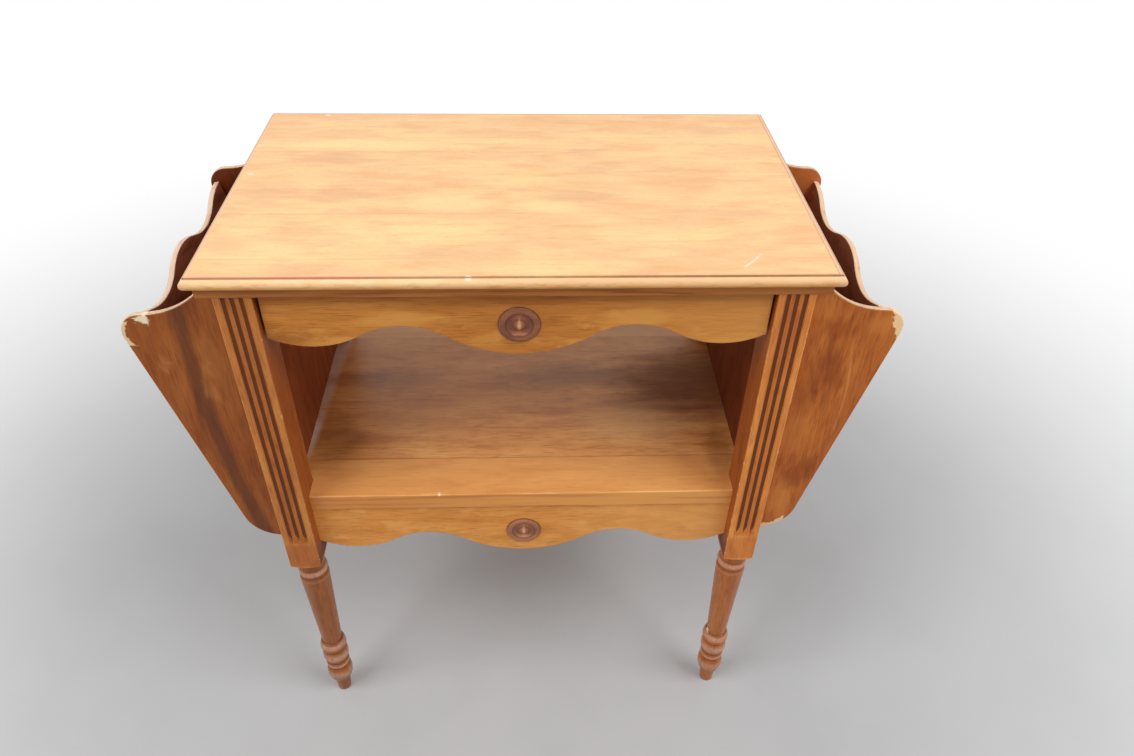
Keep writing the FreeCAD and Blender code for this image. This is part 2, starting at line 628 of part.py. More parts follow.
def rack_end_panel(label, side, front):
    """End board of a rack: curved lower corner, leaning edge, round tip, hollow sweep up to the top."""
    piece = new_body(label)
    level = "rack_span" if front else "-rack_span - rack_panel_thickness"
    drawn = outline(sketch(piece, "XZ_Plane", level), [
        ("post_outer - rack_housing", "rack_foot"),
        ("foot_x", "rack_foot", "rack_foot_curve", "left"),
        ("foot_x + rack_foot_curve * cos(rack_lean)", "foot_z - rack_foot_curve * sin(rack_lean)"),
        ("tip_x + rack_tip_curve * cos(rack_lean)", "tip_z - rack_tip_curve * sin(rack_lean)",
         "rack_tip_curve", "left"),
        ("tip_x", "tip_z + rack_tip_curve", "rack_sweep_curve", "right"),
        ("sweep_x", "underside"),
        ("post_outer - rack_housing", "underside"),
    ], side)
    pad(piece, drawn, "rack_panel_thickness")
    middle = "-post_y" if front else "post_y"
    round_edges(piece, "rack_edge_round", lambda edge: not lies_at(edge, "z", "underside")
                and not lies_at(edge, "x", times(side, "post_outer - rack_housing"))
                and (lies_at(edge, "y", middle + " + rack_panel_thickness / 2")
                     or lies_at(edge, "y", middle + " - rack_panel_thickness / 2")))


def rack_outer_panel(label, side):
    """Leaning board between the end panels, with a serpentine upper edge of touching arcs."""
    piece = new_body(label)
    inner_y = "dip_y * crest_curve_share"
    inner_z = "outer_height - dip_depth * crest_curve_share"
    outer_y = "dip_y + (rack_span - dip_y) * dip_share"
    outer_z = "outer_height - dip_depth + dip_depth * dip_share"
    drawn = outline(sketch(piece, "YZ_Plane", "-rack_panel_thickness" if side > 0 else "0"), [
        ("-rack_span", "0"),
        ("rack_span", "0"),
        ("rack_span", "outer_height", "end_radius", "left"),
        (outer_y, outer_z, "dip_radius", "right"),
        (inner_y, inner_z, "crest_radius", "left"),
        ("-(%s)" % inner_y, inner_z, "dip_radius", "right"),
        ("-(%s)" % outer_y, outer_z, "end_radius", "left"),
        ("-rack_span", "outer_height"),
    ])
    pad(piece, drawn, "rack_panel_thickness")
    faces = ("0", times(side, "-rack_panel_thickness"))
    round_edges(piece, "rack_edge_round",
                lambda edge: edge.CenterOfMass.z > number("outer_height - dip_depth")
                and any(lies_at(edge, "x", face) for face in faces))
    place(piece, times(side, "outer_x"), "0", "outer_foot", "0; 1; 0", times(side, "rack_lean"))


def rack_floor(label, side):
    """Board between side panel and outer panel, notched round the posts, bevelled to the lean."""
    piece = new_body(label)
    edge = "outer_inner_x + (%s - outer_foot) * tan(rack_lean)"
    drawn = outline(sketch(piece, "XZ_Plane", "-rack_span"), [
        ("panel_outer", "rack_floor_foot"),
        (edge % "rack_floor_foot", "rack_floor_foot"),
        (edge % "rack_floor_top", "rack_floor_top"),
        ("panel_outer", "rack_floor_top"),
    ], side)
    pad(piece, drawn, "2 * rack_span")
    notches = sketch(piece, "XY_Plane", "rack_floor_foot")
    rectangle(notches, "panel_outer - overrun", "post_outer", "post_back", "rack_span + overrun", side)
    rectangle(notches, "panel_outer - overrun", "post_outer", "-rack_span - overrun", "-post_back", side)
    pocket(piece, notches, "rack_floor_thickness + overrun", along=True)


def rosette(label, face, foot):
    """Turned bullseye: a rounded ring, a dish and a domed button, on a peg."""
    piece = new_body(label)
    turn(piece, outline(sketch(piece, "XZ_Plane"), swollen([
        ("0", "-spigot_end"),
        ("spigot_radius", "-spigot_end"),
        ("spigot_radius", "-rosette_sink"),
        ("rosette_radius", "-rosette_sink"),
        ("rosette_radius", "rosette_rim", "rosette_swell", "left"),
        ("dish_radius", "rosette_lip", "dish_hollow", "right"),
        ("button_radius", "button_foot"),
    ]) + dome()))
    place(piece, "0", "-" + face, "%s + rosette_lift" % foot, "1; 0; 0", "90")


def dome():
    """The button's top: an arc square to the axis."""
    radius = "(button_radius ^ 2 + button_rise ^ 2) / (2 * button_rise)"
    edge = "button_foot + button_wall"
    return [("button_radius", edge, radius, "left"), ("0", edge + " + button_rise")]


def rail_dowels(label, y, top):
    """Two dowels in each end of a rail."""
    dowels = []
    for start in ("post_inner - dowel_rail_depth", "-post_inner - dowel_post_depth"):
        for z in ("%s - dowel_edge" % top, "%s - dowel_edge - dowel_pitch" % top):
            dowel = doc.addObject("Part::Cylinder", "Dowel")
            dowel.setExpression("Radius", bound("dowel_diameter / 2"))
            dowel.setExpression("Height", bound("dowel_post_depth + dowel_rail_depth"))
            place(dowel, start, y, z, "0; 1; 0", "90")
            dowels.append(dowel)
    group(label, dowels)


def post_top_dowels():
    """One dowel between each post and the top."""
    dowels = []
    for x in ("-post_x", "post_x"):
        for y in ("-post_y", "post_y"):
            dowel = doc.addObject("Part::Cylinder", "Dowel")
            dowel.setExpression("Radius", bound("head_dowel_diameter / 2"))
            dowel.setExpression("Height", bound("head_dowel_post_depth + head_dowel_top_depth"))
            place(dowel, x, y, "underside - head_dowel_post_depth")
            dowels.append(dowel)
    group("post_top_dowels", dowels)


def group(label, solids):
    """Like solids that share one node."""
    piece = doc.addObject("Part::Compound", label)
    piece.Label = label
    piece.Links = solids
    PIECES.append(piece)


def drawer_front():
    """Scalloped front, housed for the sides and grooved for the bottom."""
    piece = new_body("drawer_front")
    drawn = outline(sketch(piece, "XZ_Plane", "drawer_front_back"),
                    scallop("drawer_front_end", "drawer_front_top", "drawer_front_foot"))
    pad(piece, drawn, "drawer_front_thickness")
    round_scallop(piece, "drawer_face", "drawer_front_top")
    rosette_hole(piece, "drawer_face", "drawer_front_foot")
    for side in (1, -1):
        housing = rectangle(sketch(piece, "XZ_Plane", "drawer_front_back"), "drawer_side_inner",
                            "drawer_side_outer", "drawer_side_foot", "drawer_side_top", side)
        pocket(piece, housing, "drawer_housing", along=True)
    groove = rectangle(sketch(piece, "XZ_Plane", "drawer_front_back"), "-drawer_bottom_edge",
                       "drawer_bottom_edge", "drawer_bottom_foot", "drawer_bottom_top")
    pocket(piece, groove, "drawer_bottom_groove", along=True)


def drawer_side(label, side):
    """Side with a groove for the bottom and a housing for the back."""
    piece = new_body(label)
    level = "drawer_side_inner" if side > 0 else "-drawer_side_outer"
    drawn = rectangle(sketch(piece, "YZ_Plane", level), "-drawer_side_front", "drawer_side_end",
                      "drawer_side_foot", "drawer_side_top")
    pad(piece, drawn, "drawer_side_thickness")
    groove = rectangle(sketch(piece, "XZ_Plane", "drawer_side_front"), "drawer_side_inner - overrun",
                       "drawer_bottom_edge", "drawer_bottom_foot", "drawer_bottom_top", side)
    pocket(piece, groove, "drawer_side_front + drawer_side_end")
    housing = rectangle(sketch(piece, "XY_Plane", "drawer_bottom_top"), "drawer_side_inner - overrun",
                        "drawer_side_inner + drawer_back_housing",
                        "drawer_back_rear - drawer_side_thickness", "drawer_back_rear", side)
    pocket(piece, housing, "drawer_side_top - drawer_bottom_top + overrun", along=True)


def drawer_back():
    """Back above the bottom, housed in the sides."""
    piece = new_body("drawer_back")
    reach = "drawer_side_inner + drawer_back_housing"
    drawn = rectangle(sketch(piece, "XY_Plane", "drawer_bottom_top"), "-(%s)" % reach, reach,
                      "drawer_back_rear - drawer_side_thickness", "drawer_back_rear")
    pad(piece, drawn, "drawer_side_top - drawer_bottom_top")


def drawer_bottom():
    """Thin board in the grooves of front and sides, under the back."""
    piece = new_body("drawer_bottom")
    drawn = rectangle(sketch(piece, "XY_Plane", "drawer_bottom_foot"), "-drawer_bottom_edge",
                      "drawer_bottom_edge", "-drawer_front_back - drawer_bottom_groove", "drawer_back_rear")
    pad(piece, drawn, "drawer_bottom_thickness")


def build():
    table_top()
    for name, side in (("left", -1), ("right", 1)):
        post("front_%s_post" % name, side, front=True)
        post("rear_%s_post" % name, -side, front=False)
        side_panel("%s_side_panel" % name, side)
        cleat("%s_top_cleat" % name, side, "underside", "top_cleat_height")
        cleat("%s_shelf_cleat" % name, side, "shelf_underside", "shelf_cleat_height")
        runner("%s_drawer_runner" % name, side)
        rack_end_panel("%s_rack_front_panel" % name, side, front=True)
        rack_end_panel("%s_rack_rear_panel" % name, side, front=False)
        rack_outer_panel("%s_rack_outer_panel" % name, side)
        rack_floor("%s_rack_floor" % name, side)
        drawer_side("drawer_%s_side" % name, side)
    shelf()
    lower_apron()
    rear_rail("lower_rear_rail", "shelf_underside")
    rear_rail("upper_rear_rail", "underside")
    rail_dowels("lower_apron_dowels", "-apron_middle", "shelf_underside")
    rail_dowels("lower_rear_rail_dowels", "apron_middle", "shelf_underside")
    rail_dowels("upper_rear_rail_dowels", "apron_middle", "underside")
    post_top_dowels()
    rosette("lower_rosette", "apron_face", "apron_foot")
    drawer_front()
    drawer_back()
    drawer_bottom()
    rosette("drawer_rosette", "drawer_face", "drawer_front_foot")


def check():
    """Stop before anything is written if an object failed."""
    doc.recompute()
    for item in doc.Objects:
        if "Invalid" in item.State or "Error" in item.State:
            raise RuntimeError("%s failed: %s" % (item.Label, item.State))
    for piece in PIECES:
        if piece.Shape.isNull() or not piece.Shape.isValid():
            raise RuntimeError("%s has no valid shape" % piece.Label)


build()
check()
os.makedirs("parts", exist_ok=True)
for piece in PIECES:
    piece.Shape.exportStep("parts/%s.step" % piece.Label)
    print("%-26s solids %d volume %.1f" % (piece.Label, len(piece.Shape.Solids), piece.Shape.Volume))
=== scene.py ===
import math

import bpy
from mathutils import Matrix, Vector

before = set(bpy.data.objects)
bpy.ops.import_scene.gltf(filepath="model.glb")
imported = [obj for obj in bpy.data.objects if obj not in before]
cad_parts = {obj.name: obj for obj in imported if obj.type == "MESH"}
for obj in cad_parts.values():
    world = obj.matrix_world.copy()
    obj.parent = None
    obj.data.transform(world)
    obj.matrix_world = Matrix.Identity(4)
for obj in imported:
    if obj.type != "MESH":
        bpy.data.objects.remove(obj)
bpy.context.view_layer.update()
scene = bpy.context.scene
scene.view_settings.view_transform = "Standard"


def tint(red, green, blue):
    """A screen colour, 0 to 255, as the linear colour that the shader takes."""
    def linear(part):
        part = part / 255
        return part / 12.92 if part <= 0.04045 else ((part + 0.055) / 1.055) ** 2.4
    return (linear(red), linear(green), linear(blue), 1)


# Places on the table, in metres: X to the right, the front towards -Y, Z up.
ALONG_X, ALONG_Y, ALONG_Z = 0, 1, 2
TOP_HALF_LENGTH = 0.2665
TOP_HALF_DEPTH = 0.16375
TOP_UNDERSIDE = 0.606
NOSE_FOOT = 0.6165
QUIRK_IN = 0.0036
RUBBED_IN = 0.0068
POST_X = 0.2312
POST_Y = 0.13605
POST_HALF_WIDTH = 0.016
POST_HALF_DEPTH = 0.019
POST_FACE = POST_Y + POST_HALF_DEPTH
FLUTE_PITCH = 0.0074
FLUTE_HALF = 0.0018
FLUTE_FOOT = 0.3012
SQUARE_FOOT = 0.2588
SHELF_SURFACE = 0.3547
SHELF_UNDERSIDE = 0.3357
SHELF_SEAM = -0.0897
SHELF_REAR_SEAM = 0.122
SHELF_CHIP_Y = -0.138
RACK_SPAN = 0.13305
RACK_LEAN = math.radians(12.57)
RACK_TIP_X = 0.3181
RACK_TIP_Z = 0.5581
RACK_FOOT_X = 0.25
RACK_FOOT_Z = 0.3308
DRAWER_ROSETTE_Z = 0.5725
LOWER_ROSETTE_Z = 0.2963
ROSETTE_RADIUS = 0.0182
DISH_MIDDLE = 0.0085
DISH_RING = 0.0118
BUTTON_RING = 0.0055
DRAWER_ARCHES = (-0.1, 0.1)
ARCH_GILT_Z = 0.579
ARCH_GILT_HALF = (0.035, 0.009)
# Grooves of the turned foot, darkened as painted shade.
TURNED_GROOVES = (0.0225, 0.053, 0.064, 0.086, 0.1045, 0.2315, 0.2445)
# Beads of the turned foot: height, half height and how pale they are painted, as highlight and rubbed
# varnish.
TURNED_BEADS = ((0.041, 0.012, 0.45), (0.0585, 0.005, 0.6), (0.077, 0.01, 0.55), (0.099, 0.008, 0.5),
                (0.24, 0.006, 0.55), (0.2275, 0.002, 0.2))

# Glued boards of the top, and the joints that show: place, strength and how far right they run.
TOP_SEAMS = (-0.133, -0.0587, 0.066)
TOP_SEAM_LINES = ((-0.133, 0.25, -0.12), (-0.0587, 0.3, -0.05), (0.066, 0.3, 0.0), (0.1, 0.15, 0.1))
# Figure of the wood: the middle of each patch, its half sizes and how strongly it shows.
TOP_GOLD = (((-0.16, 0.083), (0.115, 0.015), 0.75), ((-0.02, 0.09), (0.06, 0.01), 0.5),
            ((0.198, 0.091), (0.066, 0.014), 0.35), ((-0.067, -0.039), (0.045, 0.016), 0.55),
            ((0.031, -0.046), (0.034, 0.013), 0.5), ((-0.232, -0.081), (0.03, 0.017), 0.55),
            ((-0.075, -0.093), (0.065, 0.02), 0.55), ((0.032, -0.148), (0.07, 0.014), 0.5),
            ((-0.159, -0.08), (0.034, 0.012), 0.45), ((0.103, -0.098), (0.07, 0.017), 0.4),
            ((-0.215, -0.125), (0.06, 0.03), 0.5), ((-0.12, -0.11), (0.05, 0.02), 0.35))
TOP_SMUDGES = (((-0.175, 0.05), (0.045, 0.015), 0.45), ((-0.228, -0.022), (0.028, 0.016), 0.4),
               ((-0.155, -0.024), (0.034, 0.014), 0.45), ((0.079, 0.029), (0.034, 0.011), 0.45),
               ((0.058, -0.027), (0.042, 0.012), 0.5), ((0.212, 0.116), (0.048, 0.013), 0.5),
               ((0.061, 0.07), (0.03, 0.006), 0.55), ((-0.172, -0.148), (0.042, 0.01), 0.35),
               ((-0.188, -0.081), (0.022, 0.013), 0.3), ((-0.242, -0.114), (0.02, 0.012), 0.4),
               ((0.179, -0.061), (0.08, 0.01), 0.3), ((-0.065, -0.126), (0.06, 0.008), 0.35))
LEFT_RACK_GOLD = (((-0.269, 0.527), (0.015, 0.045), 0.45),)
RIGHT_RACK_GOLD = (((0.2662, 0.3408), (0.014, 0.034), 0.6), ((0.2656, 0.4336), (0.016, 0.03), 0.35),
                   ((0.2636, 0.5814), (0.014, 0.014), 0.4), ((0.3168, 0.5623), (0.014, 0.014), 0.4))
RIGHT_RACK_SHADES = (((0.2822, 0.5572), (0.02, 0.014), 0.45), ((0.2808, 0.5117), (0.02, 0.032), 0.5),
                     ((0.2788, 0.3777), (0.022, 0.028), 0.6), ((0.2677, 0.4848), (0.01, 0.032), 0.35))
# Painted shadows and painted dark reflections on the shelf, each by its middle, its half sizes and its cover.
SHELF_RIGHT_PAINTED_SHADOW = ((0.215, 0.03), (0.13, 0.085), 0.85)
SHELF_PAINTED_SHADOWS = (SHELF_RIGHT_PAINTED_SHADOW, ((-0.162, 0.044), (0.08, 0.02), 0.35),
                ((0.046, 0.047), (0.095, 0.028), 0.5), ((-0.208, -0.06), (0.045, 0.05), 0.55),
                ((0.212, -0.09), (0.02, 0.045), 0.45))
SHELF_GOLD = (((0.12, -0.035), (0.06, 0.035), 0.35),)
LEFT_RACK_CURLS = ((-0.3093, 0.5264), (-0.2736, 0.5193), (-0.2768, 0.4918))
CURL_HALF = (0.008, 0.012)
# The edge of the painted pale reflection at the shelf's left end: a point on it, and its slant.
REFLECTION_EDGE_X, REFLECTION_EDGE_Y, REFLECTION_SLANT = -0.2275, -0.1, 0.07
# The bent dark streak and the bent pale vein on the rack ends: place of the bend and its sharpness.
STREAK_X, STREAK_Z, STREAK_BEND = 0.2876, 0.515, 0.42
VEIN_X, VEIN_Z, VEIN_BEND = 0.3035, 0.475, 1.6

# Wear: scratches and rubs as the ends of a line, chips by their corners.
TOP_SCRATCHES = (((0.1835, -0.1485), (0.1905, -0.142)), ((0.1895, -0.1432), (0.2035, -0.127)))
TOP_RUBS = (((-0.257, 0.0185), (-0.2485, 0.0175)), ((-0.208, 0.1565), (-0.2005, 0.1545)))
NOSE_DENT = ((-0.0435, -0.1605), (-0.0355, -0.1605))
SHELF_CHIP = ((-0.0868, SHELF_SURFACE - 0.0006), (-0.0826, SHELF_SURFACE - 0.0006))
RACK_HOLE = ((0.2918, 0.5193), (0.2936, 0.5193))
APRON_CHIP = ((0.115, 0.262), (0.1225, 0.262), (0.1215, 0.2725), (0.1165, 0.2715))
FOOT_CHIP = ((0.2185, 0.1035), (0.2205, 0.103), (0.2213, 0.1085), (0.219, 0.1095))
TORN_TIP = ((-0.3285, 0.5735), (-0.3125, 0.5655), (-0.3095, 0.572), (-0.3115, 0.581))
BROKEN_TIP = ((0.3218, 0.581), (0.3285, 0.56), (0.3368, 0.5375), (0.346, 0.545), (0.346, 0.586))
# Rubbed and splintered rims by their middle and half length, and the start and end of the painted highlight
# on the upper rim.
TIP_RUB_Z, TIP_RUB_HALF = 0.5585, 0.0115
TIP_RUB_X = -0.325
SPLINTER_X, SPLINTER_HALF = 0.2645, 0.0105
PALE_RIM = (0.55, 0.572)

# Light, middle and dark tone of each wood.
# The drawer's tones are the apron's maple darkened as painted shade, for the drawer front that stands under
# the top.
DRAWER_SHADED_TONES = tint(222, 150, 70), tint(211, 135, 57), tint(188, 112, 45)
APRON_TONES = tint(238, 166, 88), tint(230, 152, 71), tint(210, 131, 55)
SIDE_PANEL_TONES = tint(168, 93, 49), tint(153, 81, 43), tint(130, 66, 36)
POST_TONES = tint(212, 140, 66), tint(201, 124, 54), tint(168, 96, 40)
RIGHT_POST_TONES = tint(238, 158, 74), tint(230, 142, 62), tint(198, 112, 48)
LEFT_RACK_TONES = tint(174, 102, 44), tint(160, 87, 34), tint(136, 68, 26)
RIGHT_RACK_TONES = tint(206, 124, 52), tint(194, 108, 42), tint(166, 86, 34)
LEFT_OUTER_TONES = tint(170, 96, 50), tint(150, 80, 40), tint(122, 60, 30)
RIGHT_OUTER_TONES = tint(184, 106, 50), tint(164, 88, 40), tint(130, 64, 30)
DRAWER_DISC_TONES = tint(176, 112, 74), tint(153, 89, 55), tint(122, 68, 42)
LOWER_DISC_TONES = tint(198, 132, 96), tint(178, 112, 78), tint(144, 88, 60)
STAINED_RAIL_TONES = tint(206, 134, 66), tint(192, 118, 54), tint(164, 94, 42)
BARE_WOOD_TONES = tint(222, 174, 122), tint(210, 158, 106), tint(184, 130, 84)
LEFT_CREST = tint(240, 204, 178)
RIGHT_CREST = tint(248, 206, 166)
TURNED_TONE = tint(204, 193, 204)
SCRATCHED = tint(254, 244, 228)

# How far a seam is blurred, and how far the grain jumps from board to board.
SEAM_HALF = 0.0001
BOARD_JUMP = (3.1, 0.37, 0.53)
# Sockets of the mix node's colour side: the cover, the coats below, the new coat and the result.
COVER, BELOW, NEW_COAT, MIXED = 0, 6, 7, 2

# The room, the lamps and the camera, in metres, watts, degrees and millimetres of lens.
FLOOR_SIZE = 14
FLOOR_FADE = (0.35, 1.6)
ROOM_WARMTH = (1.0, 0.985, 0.96, 1)
ROOM_STRENGTH = 0.45
WHITE = (1, 1, 1, 1)
LAMP_SIZE = (1.6, 1.0)
LAMP_POWER = 39
LAMP_AIM = Vector((0, 0, 0.4))
LEFT_LAMP = (-1.7, -1.1, 2.7)
RIGHT_LAMP = (1.7, -1.0, 2.7)
CAMERA_PLACE = Vector((0.009653, -0.737224, 1.00244))
CAMERA_PITCH, CAMERA_YAW, CAMERA_ROLL = 39.7135, 3.0909, 1.3974
CAMERA_LENS = 27.253
CAMERA_SENSOR = 36
CAMERA_NEAR = 0.02


class Field:
    """A number that varies over a surface. Sums and products of fields become shader nodes."""

    def __init__(self, finish, socket):
        self.finish = finish
        self.socket = socket

    def __add__(self, other):
        return self.finish.reckon("ADD", self, other)

    def __sub__(self, other):
        return self.finish.reckon("SUBTRACT", self, other)

    def __rsub__(self, other):
        return self.finish.reckon("SUBTRACT", other, self)

    def __mul__(self, other):
        return self.finish.reckon("MULTIPLY", self, other)

    def __abs__(self):
        return self.finish.reckon("ABSOLUTE", self)

    __radd__ = __add__

    def least(self, other):
        return self.finish.reckon("MINIMUM", self, other)

    def rise(self, low, high):
        """0 up to low, 1 from high on, smooth between."""
        step = self.finish.add("ShaderNodeMapRange", interpolation_type="SMOOTHSTEP")
        self.finish.feed(step.inputs["Value"], self)
        step.inputs["From Min"].default_value = low
        step.inputs["From Max"].default_value = high
        return Field(self.finish, step.outputs["Result"])

    def fall(self, low, high):
        """1 up to low, 0 from high on, smooth between."""
        return 1 - self.rise(low, high)

    def near(self, middle, half, soft):
        """1 within half of the middle, falling to 0 over soft."""
        return abs(self - middle).fall(half, half + soft)


class Finish:
    """One wood finish, laid in coats over shader nodes that read a surface's place and facing."""

    def __init__(self, name, gloss, seed=0.0):
        self.material = bpy.data.materials.new(name)
        self.material.use_nodes = True
        self.nodes = self.material.node_tree.nodes
        self.links = self.material.node_tree.links
        self.nodes.clear()
        self.shader = self.add("ShaderNodeBsdfPrincipled")
        self.shader.inputs["Specular IOR Level"].default_value = gloss
        self.output = self.add("ShaderNodeOutputMaterial")
        self.links.new(self.shader.outputs["BSDF"], self.output.inputs["Surface"])
        surface = self.add("ShaderNodeTexCoord")
        self.x, self.y, self.z = self.split(surface.outputs["Object"])
        self.face_x, self.face_y, self.face_z = self.split(surface.outputs["Normal"])
        shifted = self.add("ShaderNodeVectorMath", operation="ADD")
        self.links.new(surface.outputs["Object"], shifted.inputs[0])
        shifted.inputs[1].default_value = (seed, 1.7 * seed, 2.3 * seed)
        self.spot = shifted.outputs[0]
        self.colour = None

    def add(self, kind, **settings):
        node = self.nodes.new(kind)
        for name, value in settings.items():
            setattr(node, name, value)
        return node

    def feed(self, socket, value):
        """Links a field or a socket, or sets a plain value."""
        if isinstance(value, Field):
            self.links.new(value.socket, socket)
        elif isinstance(value, bpy.types.NodeSocket):
            self.links.new(value, socket)
        else:
            socket.default_value = value

    def split(self, vector):
        parts = self.add("ShaderNodeSeparateXYZ")
        self.links.new(vector, parts.inputs[0])
        return [Field(self, socket) for socket in parts.outputs]

    def reckon(self, operation, first, second=None):
        node = self.add("ShaderNodeMath", operation=operation)
        self.feed(node.inputs[0], first)
        if second is not None:
            self.feed(node.inputs[1], second)
        return Field(self, node.outputs[0])

    def boards(self, across, seams):
        """Starts the grain afresh at each seam, and gives the board's number."""
        passed = [across.rise(seam - SEAM_HALF, seam + SEAM_HALF) for seam in seams]
        number = passed[0]
        for step in passed[1:]:
            number = number + step
        jump = self.add("ShaderNodeCombineXYZ")
        for socket, length in zip(jump.inputs, BOARD_JUMP):
            self.feed(socket, number * length)
        moved = self.add("ShaderNodeVectorMath", operation="ADD")
        self.links.new(self.spot, moved.inputs[0])
        self.links.new(jump.outputs[0], moved.inputs[1])
        self.spot = moved.outputs[0]
        return number

    def grain(self, along, width, length, detail=2.0, roughness=0.55, warp=0.0):
        """Noise whose patches are about as wide and as long as given, from 0 to 1."""
        scale = [1 / width] * 3
        scale[along] = 1 / length
        mapping = self.add("ShaderNodeMapping")
        self.links.new(self.spot, mapping.inputs["Vector"])
        mapping.inputs["Scale"].default_value = scale
        noise = self.add("ShaderNodeTexNoise")
        self.links.new(mapping.outputs[0], noise.inputs["Vector"])
        noise.inputs["Scale"].default_value = 1
        noise.inputs["Detail"].default_value = detail
        noise.inputs["Roughness"].default_value = roughness
        noise.inputs["Distortion"].default_value = warp
        return Field(self, noise.outputs[0])

    def mottle(self, size, detail=2.0):
        """Noise without a direction."""
        return self.grain(ALONG_X, size, size, detail)

    def growth(self, along, width, length, lines):
        """Growth lines, the contours of a slow swell in the wood, from 0 to 1."""
        swell = self.grain(along, width, length, 1.0, 0.4, 0.3)
        return self.reckon("SINE", swell * lines) * 0.5 + 0.5

    def span(self, first, second):
        """Distance from the point where both fields are zero."""
        return self.reckon("SQRT", first * first + second * second)

    def oval(self, first, second, place, half, ragged):
        """1 in the middle of a soft oval in the plane of two fields, 0 past its ragged rim."""
        across = (first - place[0]) * (1 / half[0])
        up = (second - place[1]) * (1 / half[1])
        return (self.span(across, up) + ragged).fall(0.35, 1.15)

    def lay(self, colour, cover, blend="MIX"):
        """A coat of colour over the coats so far; cover is how much of it shows."""
        coat = self.add("ShaderNodeMix", data_type="RGBA", blend_type=blend)
        self.feed(coat.inputs[COVER], cover)
        self.feed(coat.inputs[BELOW], self.colour)
        coat.inputs[NEW_COAT].default_value = colour
        self.colour = coat.outputs[MIXED]

    def stain(self, colour, cover):
        """A coat that darkens what lies below it."""
        self.lay(colour, cover, "MULTIPLY")

    def dapple(self, coat, colour, first, second, patches, ragged, where=1):
        """Lays or stains soft ovals; a patch gives its middle, its half sizes and its cover."""
        for place, half, cover in patches:
            coat(colour, self.oval(first, second, place, half, ragged) * where * cover)

    def mark(self, first, second, ends, width):
        """A thin straight scratch between two points of the plane of two fields."""
        start, end = ends
        run = math.dist(start, end)
        ahead = [(b - a) / run for a, b in zip(start, end)]
        middle = [(a + b) / 2 for a, b in zip(start, end)]
        along = (first - middle[0]) * ahead[0] + (second - middle[1]) * ahead[1]
        across = (second - middle[1]) * ahead[0] - (first - middle[0]) * ahead[1]
        return along.near(0, run / 2 - width, width) * across.near(0, width / 4, width / 2)

    def patch(self, first, second, corners, soft):
        """1 inside a patch whose corners are given anticlockwise in the plane of two fields."""
        inside = None
        for start, end in zip(corners, corners[1:] + corners[:1]):
            run = math.dist(start, end)
            ahead = [(b - a) / run for a, b in zip(start, end)]
            within = (second - start[1]) * ahead[0] - (first - start[0]) * ahead[1]
            inside = within if inside is None else inside.least(within)
        return inside.rise(0, soft)

    def varnish(self, roughness, relief, depth, strength=0.4):
        """Closes the finish: its colour, its sheen and the height of its grain."""
        self.feed(self.shader.inputs["Base Color"], self.colour)
        self.feed(self.shader.inputs["Roughness"], roughness)
        bump = self.add("ShaderNodeBump")
        bump.inputs["Strength"].default_value = strength
        bump.inputs["Distance"].default_value = depth
        self.feed(bump.inputs["Height"], relief)
        self.links.new(bump.outputs["Normal"], self.shader.inputs["Normal"])


def put_on(finish, *names):
    for name in names:
        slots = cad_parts[name].data.materials
        slots.clear()
        slots.append(finish.material)


def golden_top():
    """Glued boards of golden maple, paled partly as painted light, with a quirk darkened as painted shade, a
    nose pale above as painted highlight and wear, and a bare underside.
    """
    wood = Finish("golden_maple_top", 0.22)
    wood.boards(wood.y, TOP_SEAMS)
    wood.cloud = wood.grain(ALONG_X, 0.014, 0.05, 4, 0.55, 0.4)
    wood.streak = wood.grain(ALONG_X, 0.004, 0.1, 3)
    wood.fibre = wood.grain(ALONG_X, 0.0009, 0.02, 3)
    wood.upward = wood.face_z.rise(0.4, 0.8)
    figure_top(wood)
    quirk, nose = wear_top_edge(wood)
    below = wood.face_z.fall(-0.9, -0.5) * wood.z.fall(TOP_UNDERSIDE + 0.0005, TOP_UNDERSIDE + 0.002)
    wood.lay(tint(176, 138, 96), below)
    wood.lay(tint(150, 112, 74), below * wood.streak.rise(0.45, 0.7) * 0.6)
    for ends in TOP_SCRATCHES:
        scratch = wood.mark(wood.x, wood.y, ends, 0.002) * wood.fibre.rise(0.35, 0.55)
        wood.lay(SCRATCHED, scratch * wood.upward * 0.7)
    for ends in TOP_RUBS:
        wood.lay(SCRATCHED, wood.mark(wood.x, wood.y, ends, 0.003) * wood.upward * 0.6)
    wood.lay(tint(254, 240, 214), wood.mark(wood.x, wood.y, NOSE_DENT, 0.004) * wood.upward * 0.8)
    sheen = 0.36 + wood.cloud * 0.1 + nose * 0.06 + below * 0.3
    wood.varnish(sheen, wood.streak * 0.5 + wood.fibre * 0.5 - quirk, 0.0004)
    return wood


